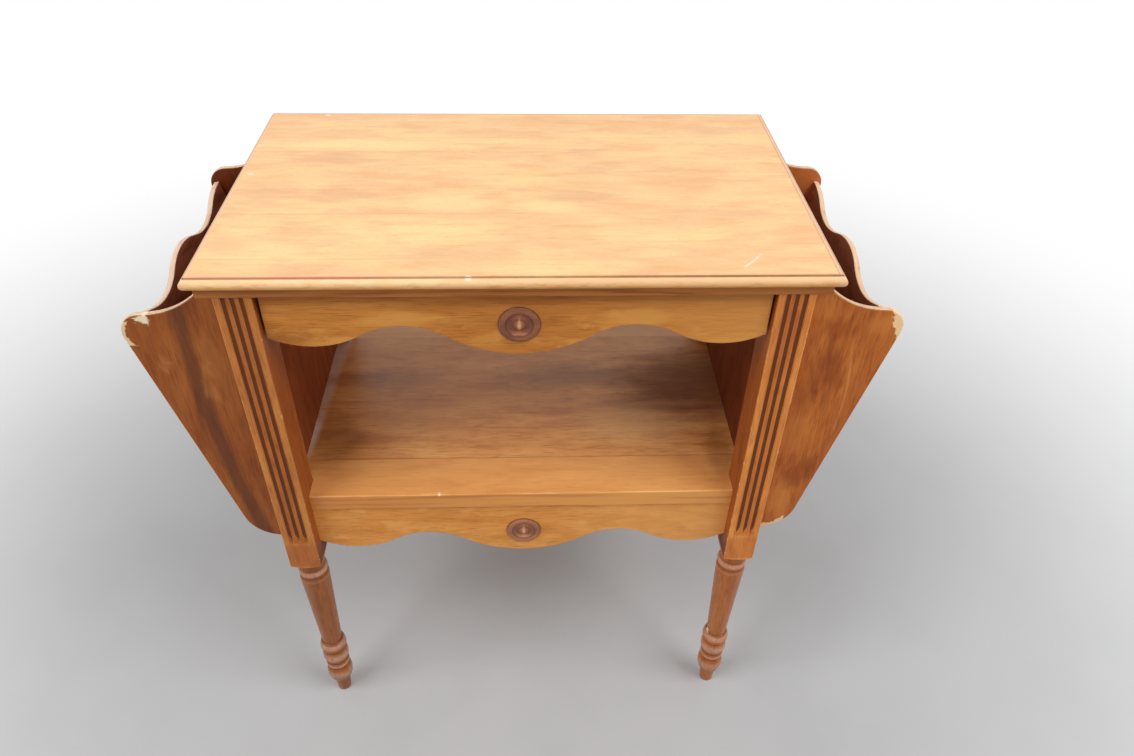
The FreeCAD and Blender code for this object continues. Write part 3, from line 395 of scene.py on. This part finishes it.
def figure_top(wood):
    """Gold and orange clouds, smudges, streaks, flecks and the joints between the boards."""
    cloud = wood.cloud
    flame = wood.grain(ALONG_X, 0.034, 0.11, 3, 0.55, 0.4)
    fleck = wood.grain(ALONG_X, 0.002, 0.006, 2)
    smudge = wood.grain(ALONG_X, 0.009, 0.035, 3, 0.55)
    ragged = (cloud - 0.5) * 2.2 + (smudge - 0.5) * 1.2
    # The pale base is partly painted light: the glare on the brightly lit top is painted into the maple's
    # gold.
    wood.colour = tint(246, 197, 146)
    wood.lay(tint(253, 216, 155), cloud.rise(0.47, 0.68) * 0.55)
    wood.lay(tint(239, 181, 124), cloud.fall(0.32, 0.5) * 0.6)
    wood.lay(tint(252, 213, 151), flame.rise(0.5, 0.66) * 0.6)
    wood.lay(tint(240, 183, 128), flame.fall(0.32, 0.47) * 0.6)
    wood.dapple(wood.lay, tint(254, 225, 162), wood.x, wood.y, TOP_GOLD, ragged)
    wood.dapple(wood.lay, tint(229, 178, 138), wood.x, wood.y, TOP_SMUDGES, ragged)
    wood.lay(tint(226, 178, 138), smudge.rise(0.56, 0.74) * 0.35)
    wood.lay(tint(226, 170, 116), wood.streak.rise(0.55, 0.76) * 0.3)
    wood.lay(tint(222, 166, 112), wood.fibre.rise(0.52, 0.75) * 0.3)
    wood.lay(tint(218, 162, 110), fleck.rise(0.58, 0.76) * 0.35)
    for seam, strength, reach in TOP_SEAM_LINES:
        line = wood.y.near(seam, 0.0002, 0.0007) * cloud.rise(0.3, 0.55) * wood.x.fall(reach, reach + 0.1)
        wood.lay(tint(196, 126, 78), line * strength)


def wear_top_edge(wood):
    """A quirk darkened as painted shade, rubbed ends, a nose that is pale above as painted highlight and wear
    and golden below, a painted shadow line under it, and a brown band.
    """
    inward = TOP_HALF_LENGTH - abs(wood.x)
    edge = inward.least(TOP_HALF_DEPTH - abs(wood.y))
    side = inward.fall(0.005, 0.006)
    wear_and_highlight_patches = wood.grain(ALONG_X, 0.006, 0.02, 3)
    chafed = wood.grain(ALONG_X, 0.003, 0.012, 3)
    handled = edge.fall(0.003, 0.009) * wood.upward * wood.cloud.rise(0.35, 0.65)
    wood.lay(tint(206, 146, 108), handled * 0.35)
    # The quirk is darkened as painted shade in the groove; its left end is laid lighter pink, its ends on the
    # sides purple-grey.
    quirk = edge.near(QUIRK_IN, 0.0003, 0.0007)
    wood.lay(tint(122, 66, 44), quirk * (0.15 + wear_and_highlight_patches * 0.4 + wood.x.rise(-0.1, 0.2) * 0.25))
    wood.lay(tint(214, 138, 122), quirk * wood.x.fall(-0.16, -0.04) * 0.7)
    wood.lay(tint(150, 108, 98), quirk * side * 0.7)
    rubbed = inward.fall(RUBBED_IN - 0.001, RUBBED_IN) * wood.upward
    wood.lay(tint(240, 202, 172), rubbed * (0.25 + wear_and_highlight_patches * 0.4))
    rubbed_rim = inward.near(RUBBED_IN, 0.0002, 0.0008) * wood.upward
    wood.lay(tint(178, 128, 116), rubbed_rim * wood.x.rise(-0.05, 0.05) * 0.45)
    nose = edge.fall(0.0026, 0.0031)
    up_nose = wood.z - NOSE_FOOT
    wood.lay(tint(252, 208, 152), nose * 0.9)
    # Painted highlight on the nose's upper half, in patches that also read as rubbed wear.
    wood.lay(tint(254, 224, 178), nose * wear_and_highlight_patches.rise(0.4, 0.62) * up_nose.rise(0.0035, 0.0065) * 0.5)
    wood.lay(tint(244, 190, 144), nose * wood.x.rise(-0.08, 0.06) * up_nose.rise(0.003, 0.0055) * 0.65)
    wood.lay(tint(240, 166, 80), nose * up_nose.fall(0.002, 0.007) * (0.6 + wear_and_highlight_patches.rise(0.4, 0.6) * 0.4))
    wood.lay(tint(214, 148, 84), nose * chafed.rise(0.5, 0.62) * up_nose.fall(0.005, 0.009) * 0.4)
    wood.lay(tint(240, 196, 164), nose * side * 0.4)
    band = up_nose.fall(-0.0008, 0)
    wood.lay(tint(188, 112, 46), band * 0.95)
    wood.stain(tint(214, 190, 170), band * wood.streak.rise(0.45, 0.7))
    # A painted shadow line under the nose.
    wood.lay(tint(90, 40, 20), up_nose.near(-0.0003, 0.0005, 0.0008) * 0.8)
    return quirk, nose


def case_board(name, along, tones, seed, rough=0.36, gloss=0.2):
    """Stained maple with slow clouds, growth lines, streaks and fibres along the board."""
    light, middle, dark = tones
    wood = Finish(name, gloss, seed)
    wood.cloud = wood.grain(along, 0.015, 0.075, 4, 0.55, 0.35)
    wood.streak = wood.grain(along, 0.005, 0.14, 3)
    wood.fibre = wood.grain(along, 0.0009, 0.02, 3)
    wood.lines = wood.growth(along, 0.05, 0.34, 70)
    wood.colour = middle
    wood.lay(light, wood.cloud.rise(0.48, 0.68) * 0.85)
    wood.lay(dark, wood.cloud.fall(0.3, 0.48) * 0.65)
    wood.lay(dark, wood.streak.rise(0.54, 0.75) * 0.35)
    wood.lay(light, wood.streak.fall(0.25, 0.44) * 0.3)
    wood.stain(tint(206, 190, 174), wood.lines.rise(0.5, 1.0) * 0.2)
    wood.stain(tint(186, 164, 142), wood.fibre.rise(0.48, 0.72) * 0.6)
    faces = (wood.face_x, wood.face_y, wood.face_z)
    wood.stain(tint(188, 164, 144), abs(faces[along]).rise(0.7, 0.9) * 0.8)
    wood.sheen = rough + wood.cloud * 0.12
    wood.relief = wood.streak * 0.4 + wood.fibre * 0.6
    return wood


def close_board(wood, depth=0.0004):
    wood.varnish(wood.sheen, wood.relief, depth)
    return wood


def wear_scallop(wood):
    """A pale rubbed line along the rounded lower edge of a scalloped board."""
    rounded = abs(wood.face_y).rise(0.1, 0.5) * wood.face_z.fall(-0.5, -0.15)
    patchy = wood.grain(ALONG_X, 0.006, 0.03, 3)
    wood.lay(tint(232, 178, 106), rounded * patchy.rise(0.38, 0.6) * 0.5)


def drawer_board():
    """The drawer front: golden low down and over the arches, lighter to the right, dark at the top in painted
    shade under the top's overhang.
    """
    wood = case_board("scalloped_drawer_front", ALONG_X, DRAWER_SHADED_TONES, 0.6)
    glow = wood.grain(ALONG_X, 0.012, 0.03, 4, 0.6, 0.5)
    wood.lay(tint(229, 160, 76), glow.rise(0.46, 0.64) * wood.z.fall(0.565, 0.59) * 0.7)
    wood.lay(tint(228, 158, 82), wood.x.rise(0.06, 0.2) * 0.5)
    wood.stain(tint(226, 214, 204), abs(wood.x + 0.02).fall(0.03, 0.08) * 0.4)
    wood.stain(tint(208, 200, 190), wood.x.fall(-0.2, -0.15) * wood.z.fall(0.555, 0.58) * 0.8)
    for arch in DRAWER_ARCHES:
        gilt = wood.oval(wood.x, wood.z, (arch, ARCH_GILT_Z), ARCH_GILT_HALF, (glow - 0.5) * 2)
        wood.lay(tint(231, 162, 78), gilt * 0.7)
    # Painted shade from the top's overhang, darkening the drawer front towards its top.
    wood.stain(tint(206, 184, 166), wood.z.rise(0.585, 0.604) * 0.6)
    wear_scallop(wood)
    return close_board(wood)


def apron_board():
    """The lower apron: lighter to the right, a painted shadow line under the shelf's edge, one pale chip."""
    wood = case_board("scalloped_lower_apron", ALONG_X, APRON_TONES, 1.9)
    glow = wood.grain(ALONG_X, 0.012, 0.03, 4, 0.6, 0.5)
    wood.lay(tint(244, 178, 98), glow.rise(0.5, 0.68) * 0.5)
    wood.lay(tint(243, 174, 100), wood.x.rise(-0.02, 0.2) * 0.5)
    # A painted shadow line under the shelf's overhanging edge, darkest at the left.
    shelf_shadow_line = wood.z.rise(SHELF_UNDERSIDE - 0.0014, SHELF_UNDERSIDE - 0.0005)
    wood.lay(tint(110, 60, 28), shelf_shadow_line * (wood.x + wood.cloud * 0.3).fall(0.1, 0.35) * 0.8)
    wear_scallop(wood)
    chip = wood.patch(wood.x, wood.z, APRON_CHIP, 0.002)
    wood.lay(tint(250, 230, 200), chip * wood.face_y.fall(-0.9, -0.3) * 0.9)
    return close_board(wood)


def shelf_board():
    """The shelf: a plain front board, darker figured boards behind, painted shadows and dark reflections, a
    painted pale reflection on the left, a chipped edge.
    """
    wood = Finish("shelf_boards", 0.55, 2.7)
    board = wood.boards(wood.y, (SHELF_SEAM, SHELF_REAR_SEAM))
    cloud = wood.grain(ALONG_X, 0.02, 0.07, 4, 0.6, 0.4)
    streak = wood.grain(ALONG_X, 0.005, 0.14, 3)
    fibre = wood.grain(ALONG_X, 0.0009, 0.02, 3)
    figure = 1 - wood.y.fall(SHELF_SEAM - 0.0023, SHELF_SEAM + 0.0017) * 0.6
    wood.colour = tint(234, 164, 94)
    wood.lay(tint(246, 182, 108), cloud.rise(0.47, 0.66) * figure)
    wood.lay(tint(212, 138, 74), cloud.fall(0.32, 0.48) * figure * 0.8)
    wood.lay(tint(200, 124, 62), streak.rise(0.53, 0.72) * figure * 0.5)
    wood.lay(tint(244, 184, 112), streak.fall(0.26, 0.45) * 0.3)
    wood.stain(tint(182, 158, 136), fibre.rise(0.48, 0.72) * figure * 0.65)
    wood.lay(tint(246, 190, 124), board.rise(1.5, 1.9) * 0.5)
    wood.lay(tint(138, 76, 36), wood.y.near(SHELF_SEAM + 0.0006, 0.0004, 0.0009) * 0.35)
    wood.lay(tint(150, 84, 40), wood.y.near(SHELF_REAR_SEAM, 0.0003, 0.0009) * 0.15)
    shelf_mottle = wood.mottle(0.03, 3)
    upward = wood.face_z.rise(0.5, 0.9)
    ragged = (cloud - 0.5) * 0.5 + (shelf_mottle - 0.5) * 0.3
    # Painted shadows and dark reflections stained over the shelf's upper face.
    wood.dapple(wood.stain, tint(146, 120, 104), wood.x, wood.y, SHELF_PAINTED_SHADOWS, ragged, upward)
    # A painted pale reflection: a wedge along the shelf's left end that widens towards the back.
    from_reflection_edge = wood.x - REFLECTION_EDGE_X - (wood.y - REFLECTION_EDGE_Y) * REFLECTION_SLANT
    painted_reflection = from_reflection_edge.fall(-0.003, 0.006) * wood.y.rise(-0.13, -0.04)
    wood.lay(tint(232, 218, 208), painted_reflection * upward * shelf_mottle.rise(0.15, 0.6) * 0.7)
    wood.dapple(wood.lay, tint(250, 196, 124), wood.x, wood.y, SHELF_GOLD, ragged, upward)
    front = wood.face_y.fall(-0.95, -0.1)
    wood.lay(tint(232, 155, 68), front * 0.85)
    wood.stain(tint(204, 184, 164), front * streak.rise(0.45, 0.7) * 0.6)
    wood.stain(tint(240, 228, 216), front * wood.x.fall(-0.2, 0.05))
    wood.lay(tint(246, 192, 124), front * wood.face_z.rise(0.05, 0.4) * cloud.rise(0.4, 0.6) * 0.7)
    chip = wood.mark(wood.x, wood.z, SHELF_CHIP, 0.0026)
    wood.lay(tint(250, 232, 204), chip * wood.y.fall(SHELF_CHIP_Y - 0.001, SHELF_CHIP_Y + 0.001))
    place, half, _ = SHELF_RIGHT_PAINTED_SHADOW
    dull = wood.oval(wood.x, wood.y, place, half, ragged) * upward
    wood.varnish(0.25 + cloud * 0.1 + shelf_mottle * 0.06 + dull * 0.35, streak * 0.5 + fibre * 0.5, 0.0004)
    return wood


def side_board():
    """The dull, dark panels at the ends of the bay, the right one darker in painted shade."""
    wood = case_board("bay_side_panels", ALONG_Z, SIDE_PANEL_TONES, 3.3, 0.7, 0.05)
    # Painted shade: the right panel is darker, since the bay's right end lies deeper in shadow.
    wood.stain(tint(208, 204, 208), wood.x.rise(-0.01, 0.01))
    return close_board(wood)


def post_stick(name, tones, seed, fluted):
    """A square stick on a turned foot, rubbed on its arrises, its inner faces darkened as painted shade, with
    or without flutes dark with stain and painted shade.
    """
    wood = case_board(name, ALONG_Z, tones, seed, 0.4, 0.3)
    wood.nick = wood.grain(ALONG_Z, 0.003, 0.008, 3)
    wood.square = wood.z.rise(SQUARE_FOOT, SQUARE_FOOT + 0.006)
    wood.away = abs(wood.x) - POST_X
    # The inner faces toward the bay are darkened as painted shade, the right post's more and lower down more
    # again.
    inner = wood.away.fall(0.0002 - POST_HALF_WIDTH, 0.0008 - POST_HALF_WIDTH) * wood.square
    wood.stain(tint(214, 186, 164), inner)
    wood.stain(tint(222, 218, 216), inner * wood.x.rise(-0.01, 0.01))
    wood.stain(tint(196, 180, 172), inner * wood.z.fall(0.27, 0.29))
    if fluted:
        stain_flutes(wood)
    depth = abs(wood.y) - POST_Y
    corner = (abs(wood.away).rise(POST_HALF_WIDTH - 0.0014, POST_HALF_WIDTH - 0.0005)
              * abs(depth).rise(POST_HALF_DEPTH - 0.0014, POST_HALF_DEPTH - 0.0005) * wood.square)
    wood.lay(tones[0], corner * 0.4)
    wood.lay(tint(240, 200, 150), corner * wood.nick.rise(0.6, 0.66) * 0.6)
    turned = wood.z.fall(SQUARE_FOOT - 0.002, SQUARE_FOOT + 0.002)
    shade_and_rub_foot(wood, turned)
    if fluted:
        chip = wood.patch(wood.x, wood.z, FOOT_CHIP, 0.001)
        wood.lay(tint(246, 224, 190), chip * wood.y.fall(-0.137, -0.135))
    wood.lay(tint(150, 120, 96), wood.z.fall(0.001, 0.007) * 0.5)
    wood.sheen = wood.sheen - turned * 0.2
    return close_board(wood)


def stain_flutes(wood):
    """Three flutes, dark with stain and painted shade, that run out to a point, in a slightly darker face."""
    run = wood.z.rise(FLUTE_FOOT - 0.003, FLUTE_FOOT)
    behind = wood.y + POST_FACE
    between = wood.away.near(0, 0.0095, 0.0015) * run * behind.fall(0.0001, 0.0004)
    wood.stain(tint(224, 200, 178), between * 0.8)
    wood.stain(tint(236, 220, 214), wood.z.fall(FLUTE_FOOT - 0.01, FLUTE_FOOT) * wood.square)
    sunk = behind.rise(0.0001, 0.0003) * behind.fall(0.0026, 0.003) * run
    runout = wood.z.fall(FLUTE_FOOT, FLUTE_FOOT + 0.012) * FLUTE_HALF
    for place in (-FLUTE_PITCH, 0.0, FLUTE_PITCH):
        flute = (abs(wood.away - place) + runout).fall(FLUTE_HALF - 0.0001, FLUTE_HALF + 0.0001)
        # Stain and painted shade in the flute's hollow.
        wood.lay(tint(108, 54, 16), flute * sunk * 0.9)


def shade_and_rub_foot(wood, turned):
    """The turned foot: a greyer tone, grooves darkened as painted shade, and beads pale with painted
    highlights and rubbed varnish.
    """
    wood.stain(TURNED_TONE, turned)
    # Painted shade in the grooves.
    for groove in TURNED_GROOVES:
        wood.lay(tint(92, 46, 28), wood.z.near(groove, 0.0004, 0.0012) * turned * 0.5)
    # Painted highlights on the beads, laid as pale rubbed varnish.
    for bead, half, cover in TURNED_BEADS:
        rubbed = wood.z.near(bead, half * 0.1, half * 0.7) * turned
        wood.lay(tint(226, 182, 158), rubbed * (0.6 + wood.nick.rise(0.35, 0.65) * 0.4) * cover)


def rack_board(name, along, tones, seed):
    """Red-brown maple with short veins and blots."""
    wood = case_board(name, along, tones, seed, 0.4)
    wood.vein = wood.grain(along, 0.004, 0.03, 3)
    wood.blot = wood.grain(along, 0.01, 0.04, 4, 0.6, 0.3)
    wood.stain(tint(206, 184, 166), wood.vein.rise(0.56, 0.72) * 0.3)
    wood.lay(tones[0], wood.vein.fall(0.3, 0.42) * 0.35)
    return wood


def rack_end(name, tones, seed):
    """An end panel of a rack, with upright grain; the rear one shows its inner face to the front."""
    wood = rack_board(name, ALONG_Z, tones, seed)
    wood.nick = wood.mottle(0.004, 3)
    wood.ragged = (wood.blot - 0.5) * 2
    wood.rough_rim = (wood.nick - 0.5) * 0.008
    wood.inner_rear = wood.y.rise(0.1, 0.12) * wood.face_y.fall(-0.9, -0.5)
    wood.front = wood.y.fall(-RACK_SPAN - 0.001, -RACK_SPAN)
    return wood


def light_and_rub_rims(wood):
    """Pales the rounded edges of a rack end as painted highlight, most of all along its upper sweep, with
    pale rubbed nicks.
    """
    # Painted highlight along the rounded edges, stronger on the upper sweep; the nicks are rubbed wear.
    rim = (1 - abs(wood.face_y)).rise(0.25, 0.7)
    above = wood.z.rise(*PALE_RIM)
    wood.lay(tint(200, 140, 88), rim * 0.35)
    wood.lay(tint(242, 212, 176), rim * above * (0.65 + wood.nick.rise(0.4, 0.6) * 0.25))
    wood.lay(tint(238, 204, 160), rim * wood.nick.rise(0.62, 0.7) * 0.4)


def left_rack_end():
    """A bent dark streak, pale curls, and a tip that is torn above and rubbed below."""
    wood = rack_end("left_rack_end", LEFT_RACK_TONES, 4.4)
    out = wood.x * -1
    rise = wood.z - STREAK_Z
    streak = out - STREAK_X + rise * rise * STREAK_BEND + (wood.cloud - 0.5) * 0.01
    wood.lay(tint(92, 50, 26), streak.near(0, 0.003, 0.008) * (0.5 + wood.blot * 0.4))
    curl = wood.growth(ALONG_Z, 0.02, 0.04, 50).rise(0.7, 1.0)
    for place in LEFT_RACK_CURLS:
        swirl = wood.oval(wood.x, wood.z, place, CURL_HALF, wood.ragged)
        wood.lay(tint(200, 134, 78), swirl * (0.2 + curl * 0.2))
    wood.dapple(wood.lay, tint(186, 116, 52), wood.x, wood.z, LEFT_RACK_GOLD, wood.ragged)
    wood.stain(tint(214, 190, 178), out.rise(0.31, 0.335) * 0.5)
    wood.stain(tint(190, 160, 170), wood.inner_rear)
    light_and_rub_rims(wood)
    torn = wood.patch(wood.x + wood.rough_rim, wood.z + wood.rough_rim, TORN_TIP, 0.0026)
    wood.lay(tint(254, 238, 202), torn * wood.front * 0.95)
    from_tip = wood.span(out - RACK_TIP_X, wood.z - RACK_TIP_Z)
    rubbed = (from_tip + wood.rough_rim).rise(0.0155, 0.0165) * wood.z.near(TIP_RUB_Z, TIP_RUB_HALF, 0.002)
    rubbed = rubbed * wood.x.fall(TIP_RUB_X - 0.001, TIP_RUB_X + 0.001)
    wood.lay(tint(244, 214, 168), rubbed * wood.front * 0.9)
    return close_board(wood)


def right_rack_end():
    """Gold and dark patches, a bent pale vein, a small hole whose dark inside is painted shade, a broken tip
    and a splintered foot.
    """
    wood = rack_end("right_rack_end", RIGHT_RACK_TONES, 5.2)
    wood.stain(tint(214, 190, 172), wood.blot.fall(0.3, 0.46) * 0.5)
    wood.dapple(wood.lay, tint(222, 141, 66), wood.x, wood.z, RIGHT_RACK_GOLD, wood.ragged)
    wood.dapple(wood.stain, tint(180, 138, 116), wood.x, wood.z, RIGHT_RACK_SHADES, wood.ragged)
    bend = wood.z - VEIN_Z
    from_vein = wood.x - VEIN_X + bend * bend * VEIN_BEND + (wood.cloud - 0.5) * 0.004
    vein = from_vein.near(0, 0.0004, 0.0012) * wood.z.near(0.48, 0.035, 0.02)
    wood.lay(tint(224, 156, 92), vein * wood.vein.rise(0.3, 0.55) * 0.4)
    wood.lay(tint(214, 118, 66), wood.inner_rear * 0.6)
    # The small hole is painted dark: its inside is painted shade.
    hole = wood.mark(wood.x, wood.z, RACK_HOLE, 0.0024)
    wood.lay(tint(40, 20, 12), hole * wood.y.fall(-0.1, 0.0))
    light_and_rub_rims(wood)
    fringe = (wood.vein - 0.5) * 0.012
    broken = wood.patch(wood.x + wood.rough_rim + fringe, wood.z + wood.rough_rim, BROKEN_TIP, 0.002)
    wood.lay(tint(254, 216, 162), broken * wood.front * 0.95)
    from_foot = wood.span(wood.x - RACK_FOOT_X, wood.z - RACK_FOOT_Z)
    splintered = (from_foot + wood.rough_rim).rise(0.0308, 0.0316)
    splintered = splintered * wood.x.near(SPLINTER_X, SPLINTER_HALF, 0.002)
    wood.lay(tint(246, 216, 168), splintered * wood.z.fall(0.31, 0.315) * wood.front * 0.9)
    return close_board(wood)


def rack_outer(name, side, tones, bare, seed):
    """A slanted outer panel: grain along its length, its waved top edge rubbed to bare wood."""
    wood = rack_board(name, ALONG_Y, tones, seed)
    slope_up = wood.face_x * (side * math.sin(RACK_LEAN)) + wood.face_z * math.cos(RACK_LEAN)
    inward = (wood.face_x * side).fall(-0.9, -0.6)
    wood.lay(tint(164, 102, 78), inward * 0.7)
    wood.stain(tint(190, 170, 160), inward * wood.blot.fall(0.35, 0.5) * 0.6)
    crest = slope_up.rise(0.3, 0.7)
    smooth = wood.grain(ALONG_Y, 0.01, 0.03, 2)
    wood.lay(bare, crest * 0.95)
    wood.lay(tint(248, 224, 198), crest * smooth.rise(0.4, 0.65) * 0.5)
    wood.lay(tint(184, 126, 94), crest * smooth.fall(0.28, 0.4) * 0.4)
    return close_board(wood)


def bullseye(name, middle_height, tones, seed):
    """A turned disc: a dish with painted shade at its sides and painted highlight above and below, grooves
    and rim darkened as painted shade, and a painted glint on the button.
    """
    wood = case_board(name, ALONG_X, tones, seed, 0.28, 0.4)
    light, _, dark = tones
    across = wood.span(wood.x, wood.z - middle_height)
    upright = across - abs(wood.x)
    # Painted shade and highlight in the dish: dark at its sides, light above and below its middle.
    dished = across.near(DISH_MIDDLE, 0.002, 0.001)
    wood.lay(dark, dished * upright.fall(0.0005, 0.004) * 0.9)
    wood.lay(light, dished * upright.rise(0.004, 0.0085) * 0.8)
    # Painted shade in the grooves.
    wood.lay(tint(76, 38, 24), across.near(DISH_RING, 0.0003, 0.0008) * 0.6)
    wood.lay(tint(70, 36, 24), across.near(BUTTON_RING, 0.0002, 0.0007) * 0.4)
    # A painted highlight on the button.
    glint = (abs(wood.x) * 1.2 + across * 0.6).fall(0.0005, 0.0055)
    wood.lay(tint(232, 176, 132), glint * 0.75)
    # A painted shadow around the disc's rim.
    wood.lay(tint(64, 30, 18), across.rise(ROSETTE_RADIUS - 0.001, ROSETTE_RADIUS - 0.0001) * 0.7)
    return close_board(wood)


def plain_wood(name, along, tones, seed):
    """Plain, slightly grimy wood: the rear rails, the drawer box, the rack floors, strips and dowels."""
    wood = case_board(name, along, tones, seed, 0.5)
    grime = wood.mottle(0.05, 3)
    wood.stain(tint(206, 190, 172), grime.rise(0.5, 0.7) * 0.6)
    return close_board(wood, 0.0006)


def dress_table():
    put_on(golden_top(), "table_top")
    put_on(drawer_board(), "drawer_front")
    put_on(apron_board(), "lower_apron")
    put_on(shelf_board(), "shelf")
    put_on(side_board(), "left_side_panel", "right_side_panel")
    put_on(post_stick("front_left_post_stick", POST_TONES, 6.1, True), "front_left_post")
    put_on(post_stick("front_right_post_stick", RIGHT_POST_TONES, 6.9, True), "front_right_post")
    put_on(post_stick("rear_post_sticks", POST_TONES, 7.7, False), "rear_left_post", "rear_right_post")
    put_on(left_rack_end(), "left_rack_front_panel", "left_rack_rear_panel")
    put_on(right_rack_end(), "right_rack_front_panel", "right_rack_rear_panel")
    put_on(rack_outer("left_rack_outer", -1, LEFT_OUTER_TONES, LEFT_CREST, 8.3), "left_rack_outer_panel")
    put_on(rack_outer("right_rack_outer", 1, RIGHT_OUTER_TONES, RIGHT_CREST, 9.1), "right_rack_outer_panel")
    put_on(bullseye("drawer_bullseye", DRAWER_ROSETTE_Z, DRAWER_DISC_TONES, 0.21), "drawer_rosette")
    put_on(bullseye("lower_bullseye", LOWER_ROSETTE_Z, LOWER_DISC_TONES, 0.43), "lower_rosette")
    put_on(plain_wood("stained_rear_rails", ALONG_X, STAINED_RAIL_TONES, 13.3),
           "upper_rear_rail", "lower_rear_rail")
    put_on(plain_wood("bare_wood_lengthwise", ALONG_X, BARE_WOOD_TONES, 10.3), "drawer_back", "drawer_bottom")
    put_on(plain_wood("bare_wood_front_to_back", ALONG_Y, BARE_WOOD_TONES, 11.7),
           "left_top_cleat", "right_top_cleat", "left_shelf_cleat", "right_shelf_cleat",
           "left_drawer_runner", "right_drawer_runner", "left_rack_floor", "right_rack_floor",
           "drawer_left_side", "drawer_right_side")
    put_on(plain_wood("beech_dowel", ALONG_X, BARE_WOOD_TONES, 12.9),
           "lower_apron_dowels", "lower_rear_rail_dowels", "upper_rear_rail_dowels", "post_top_dowels")


def seen_directly(tree):
    """1 where a ray comes straight from the eye, a reflection or a clear pane."""
    path = tree.nodes.new("ShaderNodeLightPath")
    seen = path.outputs["Is Camera Ray"]
    for way in ("Is Glossy Ray", "Is Transmission Ray"):
        either = tree.nodes.new("ShaderNodeMath")
        either.operation = "MAXIMUM"
        tree.links.new(seen, either.inputs[0])
        tree.links.new(path.outputs[way], either.inputs[1])
        seen = either.outputs[0]
    return seen


def lay_floor():
    """A pale floor that goes to white away from the table."""
    bpy.ops.object.select_all(action="DESELECT")
    bpy.ops.mesh.primitive_plane_add(size=FLOOR_SIZE)
    floor = bpy.context.object
    floor.name = "pale_floor"
    ground = Finish("pale_floor_paint", 0.2)
    away = ground.span(ground.x, ground.y)
    haze = ground.mottle(0.25, 3)
    ground.colour = tint(192, 193, 195)
    ground.lay(tint(182, 184, 186), haze.rise(0.4, 0.7) * 0.5)
    ground.varnish(0.75 + haze * 0.1, haze, 0.001, 0.1)
    white = ground.add("ShaderNodeEmission")
    white.inputs["Color"].default_value = WHITE
    blend = ground.add("ShaderNodeMixShader")
    seen = Field(ground, seen_directly(ground.material.node_tree))
    ground.feed(blend.inputs[0], seen * away.rise(*FLOOR_FADE))
    ground.links.new(ground.shader.outputs["BSDF"], blend.inputs[1])
    ground.links.new(white.outputs["Emission"], blend.inputs[2])
    ground.links.new(blend.outputs[0], ground.output.inputs["Surface"])
    floor.data.materials.append(ground.material)


def hang_lamp(name, place):
    """A soft panel lamp that faces the middle of the table."""
    light = bpy.data.lights.new(name, "AREA")
    light.shape = "RECTANGLE"
    light.size, light.size_y = LAMP_SIZE
    light.energy = LAMP_POWER
    lamp = bpy.data.objects.new(name, light)
    scene.collection.objects.link(lamp)
    lamp.location = place
    lamp.rotation_euler = (LAMP_AIM - Vector(place)).to_track_quat("-Z", "Y").to_euler()


def light_room():
    """A warm room that looks white wherever it is seen, and two lamps over the front corners."""
    room = bpy.data.worlds.new("white_room")
    scene.world = room
    room.use_nodes = True
    nodes, links = room.node_tree.nodes, room.node_tree.links
    sky = nodes["Background"]
    sky.inputs["Color"].default_value = ROOM_WARMTH
    sky.inputs["Strength"].default_value = ROOM_STRENGTH
    white = nodes.new("ShaderNodeBackground")
    white.inputs["Color"].default_value = WHITE
    blend = nodes.new("ShaderNodeMixShader")
    links.new(seen_directly(room.node_tree), blend.inputs[0])
    links.new(sky.outputs[0], blend.inputs[1])
    links.new(white.outputs[0], blend.inputs[2])
    links.new(blend.outputs[0], nodes["World Output"].inputs["Surface"])
    hang_lamp("left_panel_lamp", LEFT_LAMP)
    hang_lamp("right_panel_lamp", RIGHT_LAMP)


def set_camera():
    """In front of the table and above it, looking down on the top."""
    pitch, yaw, roll = (math.radians(angle) for angle in (CAMERA_PITCH, CAMERA_YAW, CAMERA_ROLL))
    ahead = Vector((math.sin(yaw) * math.cos(pitch), math.cos(yaw) * math.cos(pitch), -math.sin(pitch)))
    level = Vector((math.cos(yaw), -math.sin(yaw), 0))
    upright = level.cross(ahead)
    right = level * math.cos(roll) + upright * math.sin(roll)
    up = upright * math.cos(roll) - level * math.sin(roll)
    lens = bpy.data.cameras.new("front_camera")
    lens.sensor_width = CAMERA_SENSOR
    lens.lens = CAMERA_LENS
    lens.clip_start = CAMERA_NEAR
    camera = bpy.data.objects.new("front_camera", lens)
    scene.collection.objects.link(camera)
    stand = Matrix((right, up, -ahead)).transposed().to_4x4()
    stand.translation = CAMERA_PLACE
    camera.matrix_world = stand
    scene.camera = camera


dress_table()
lay_floor()
light_room()
set_camera()
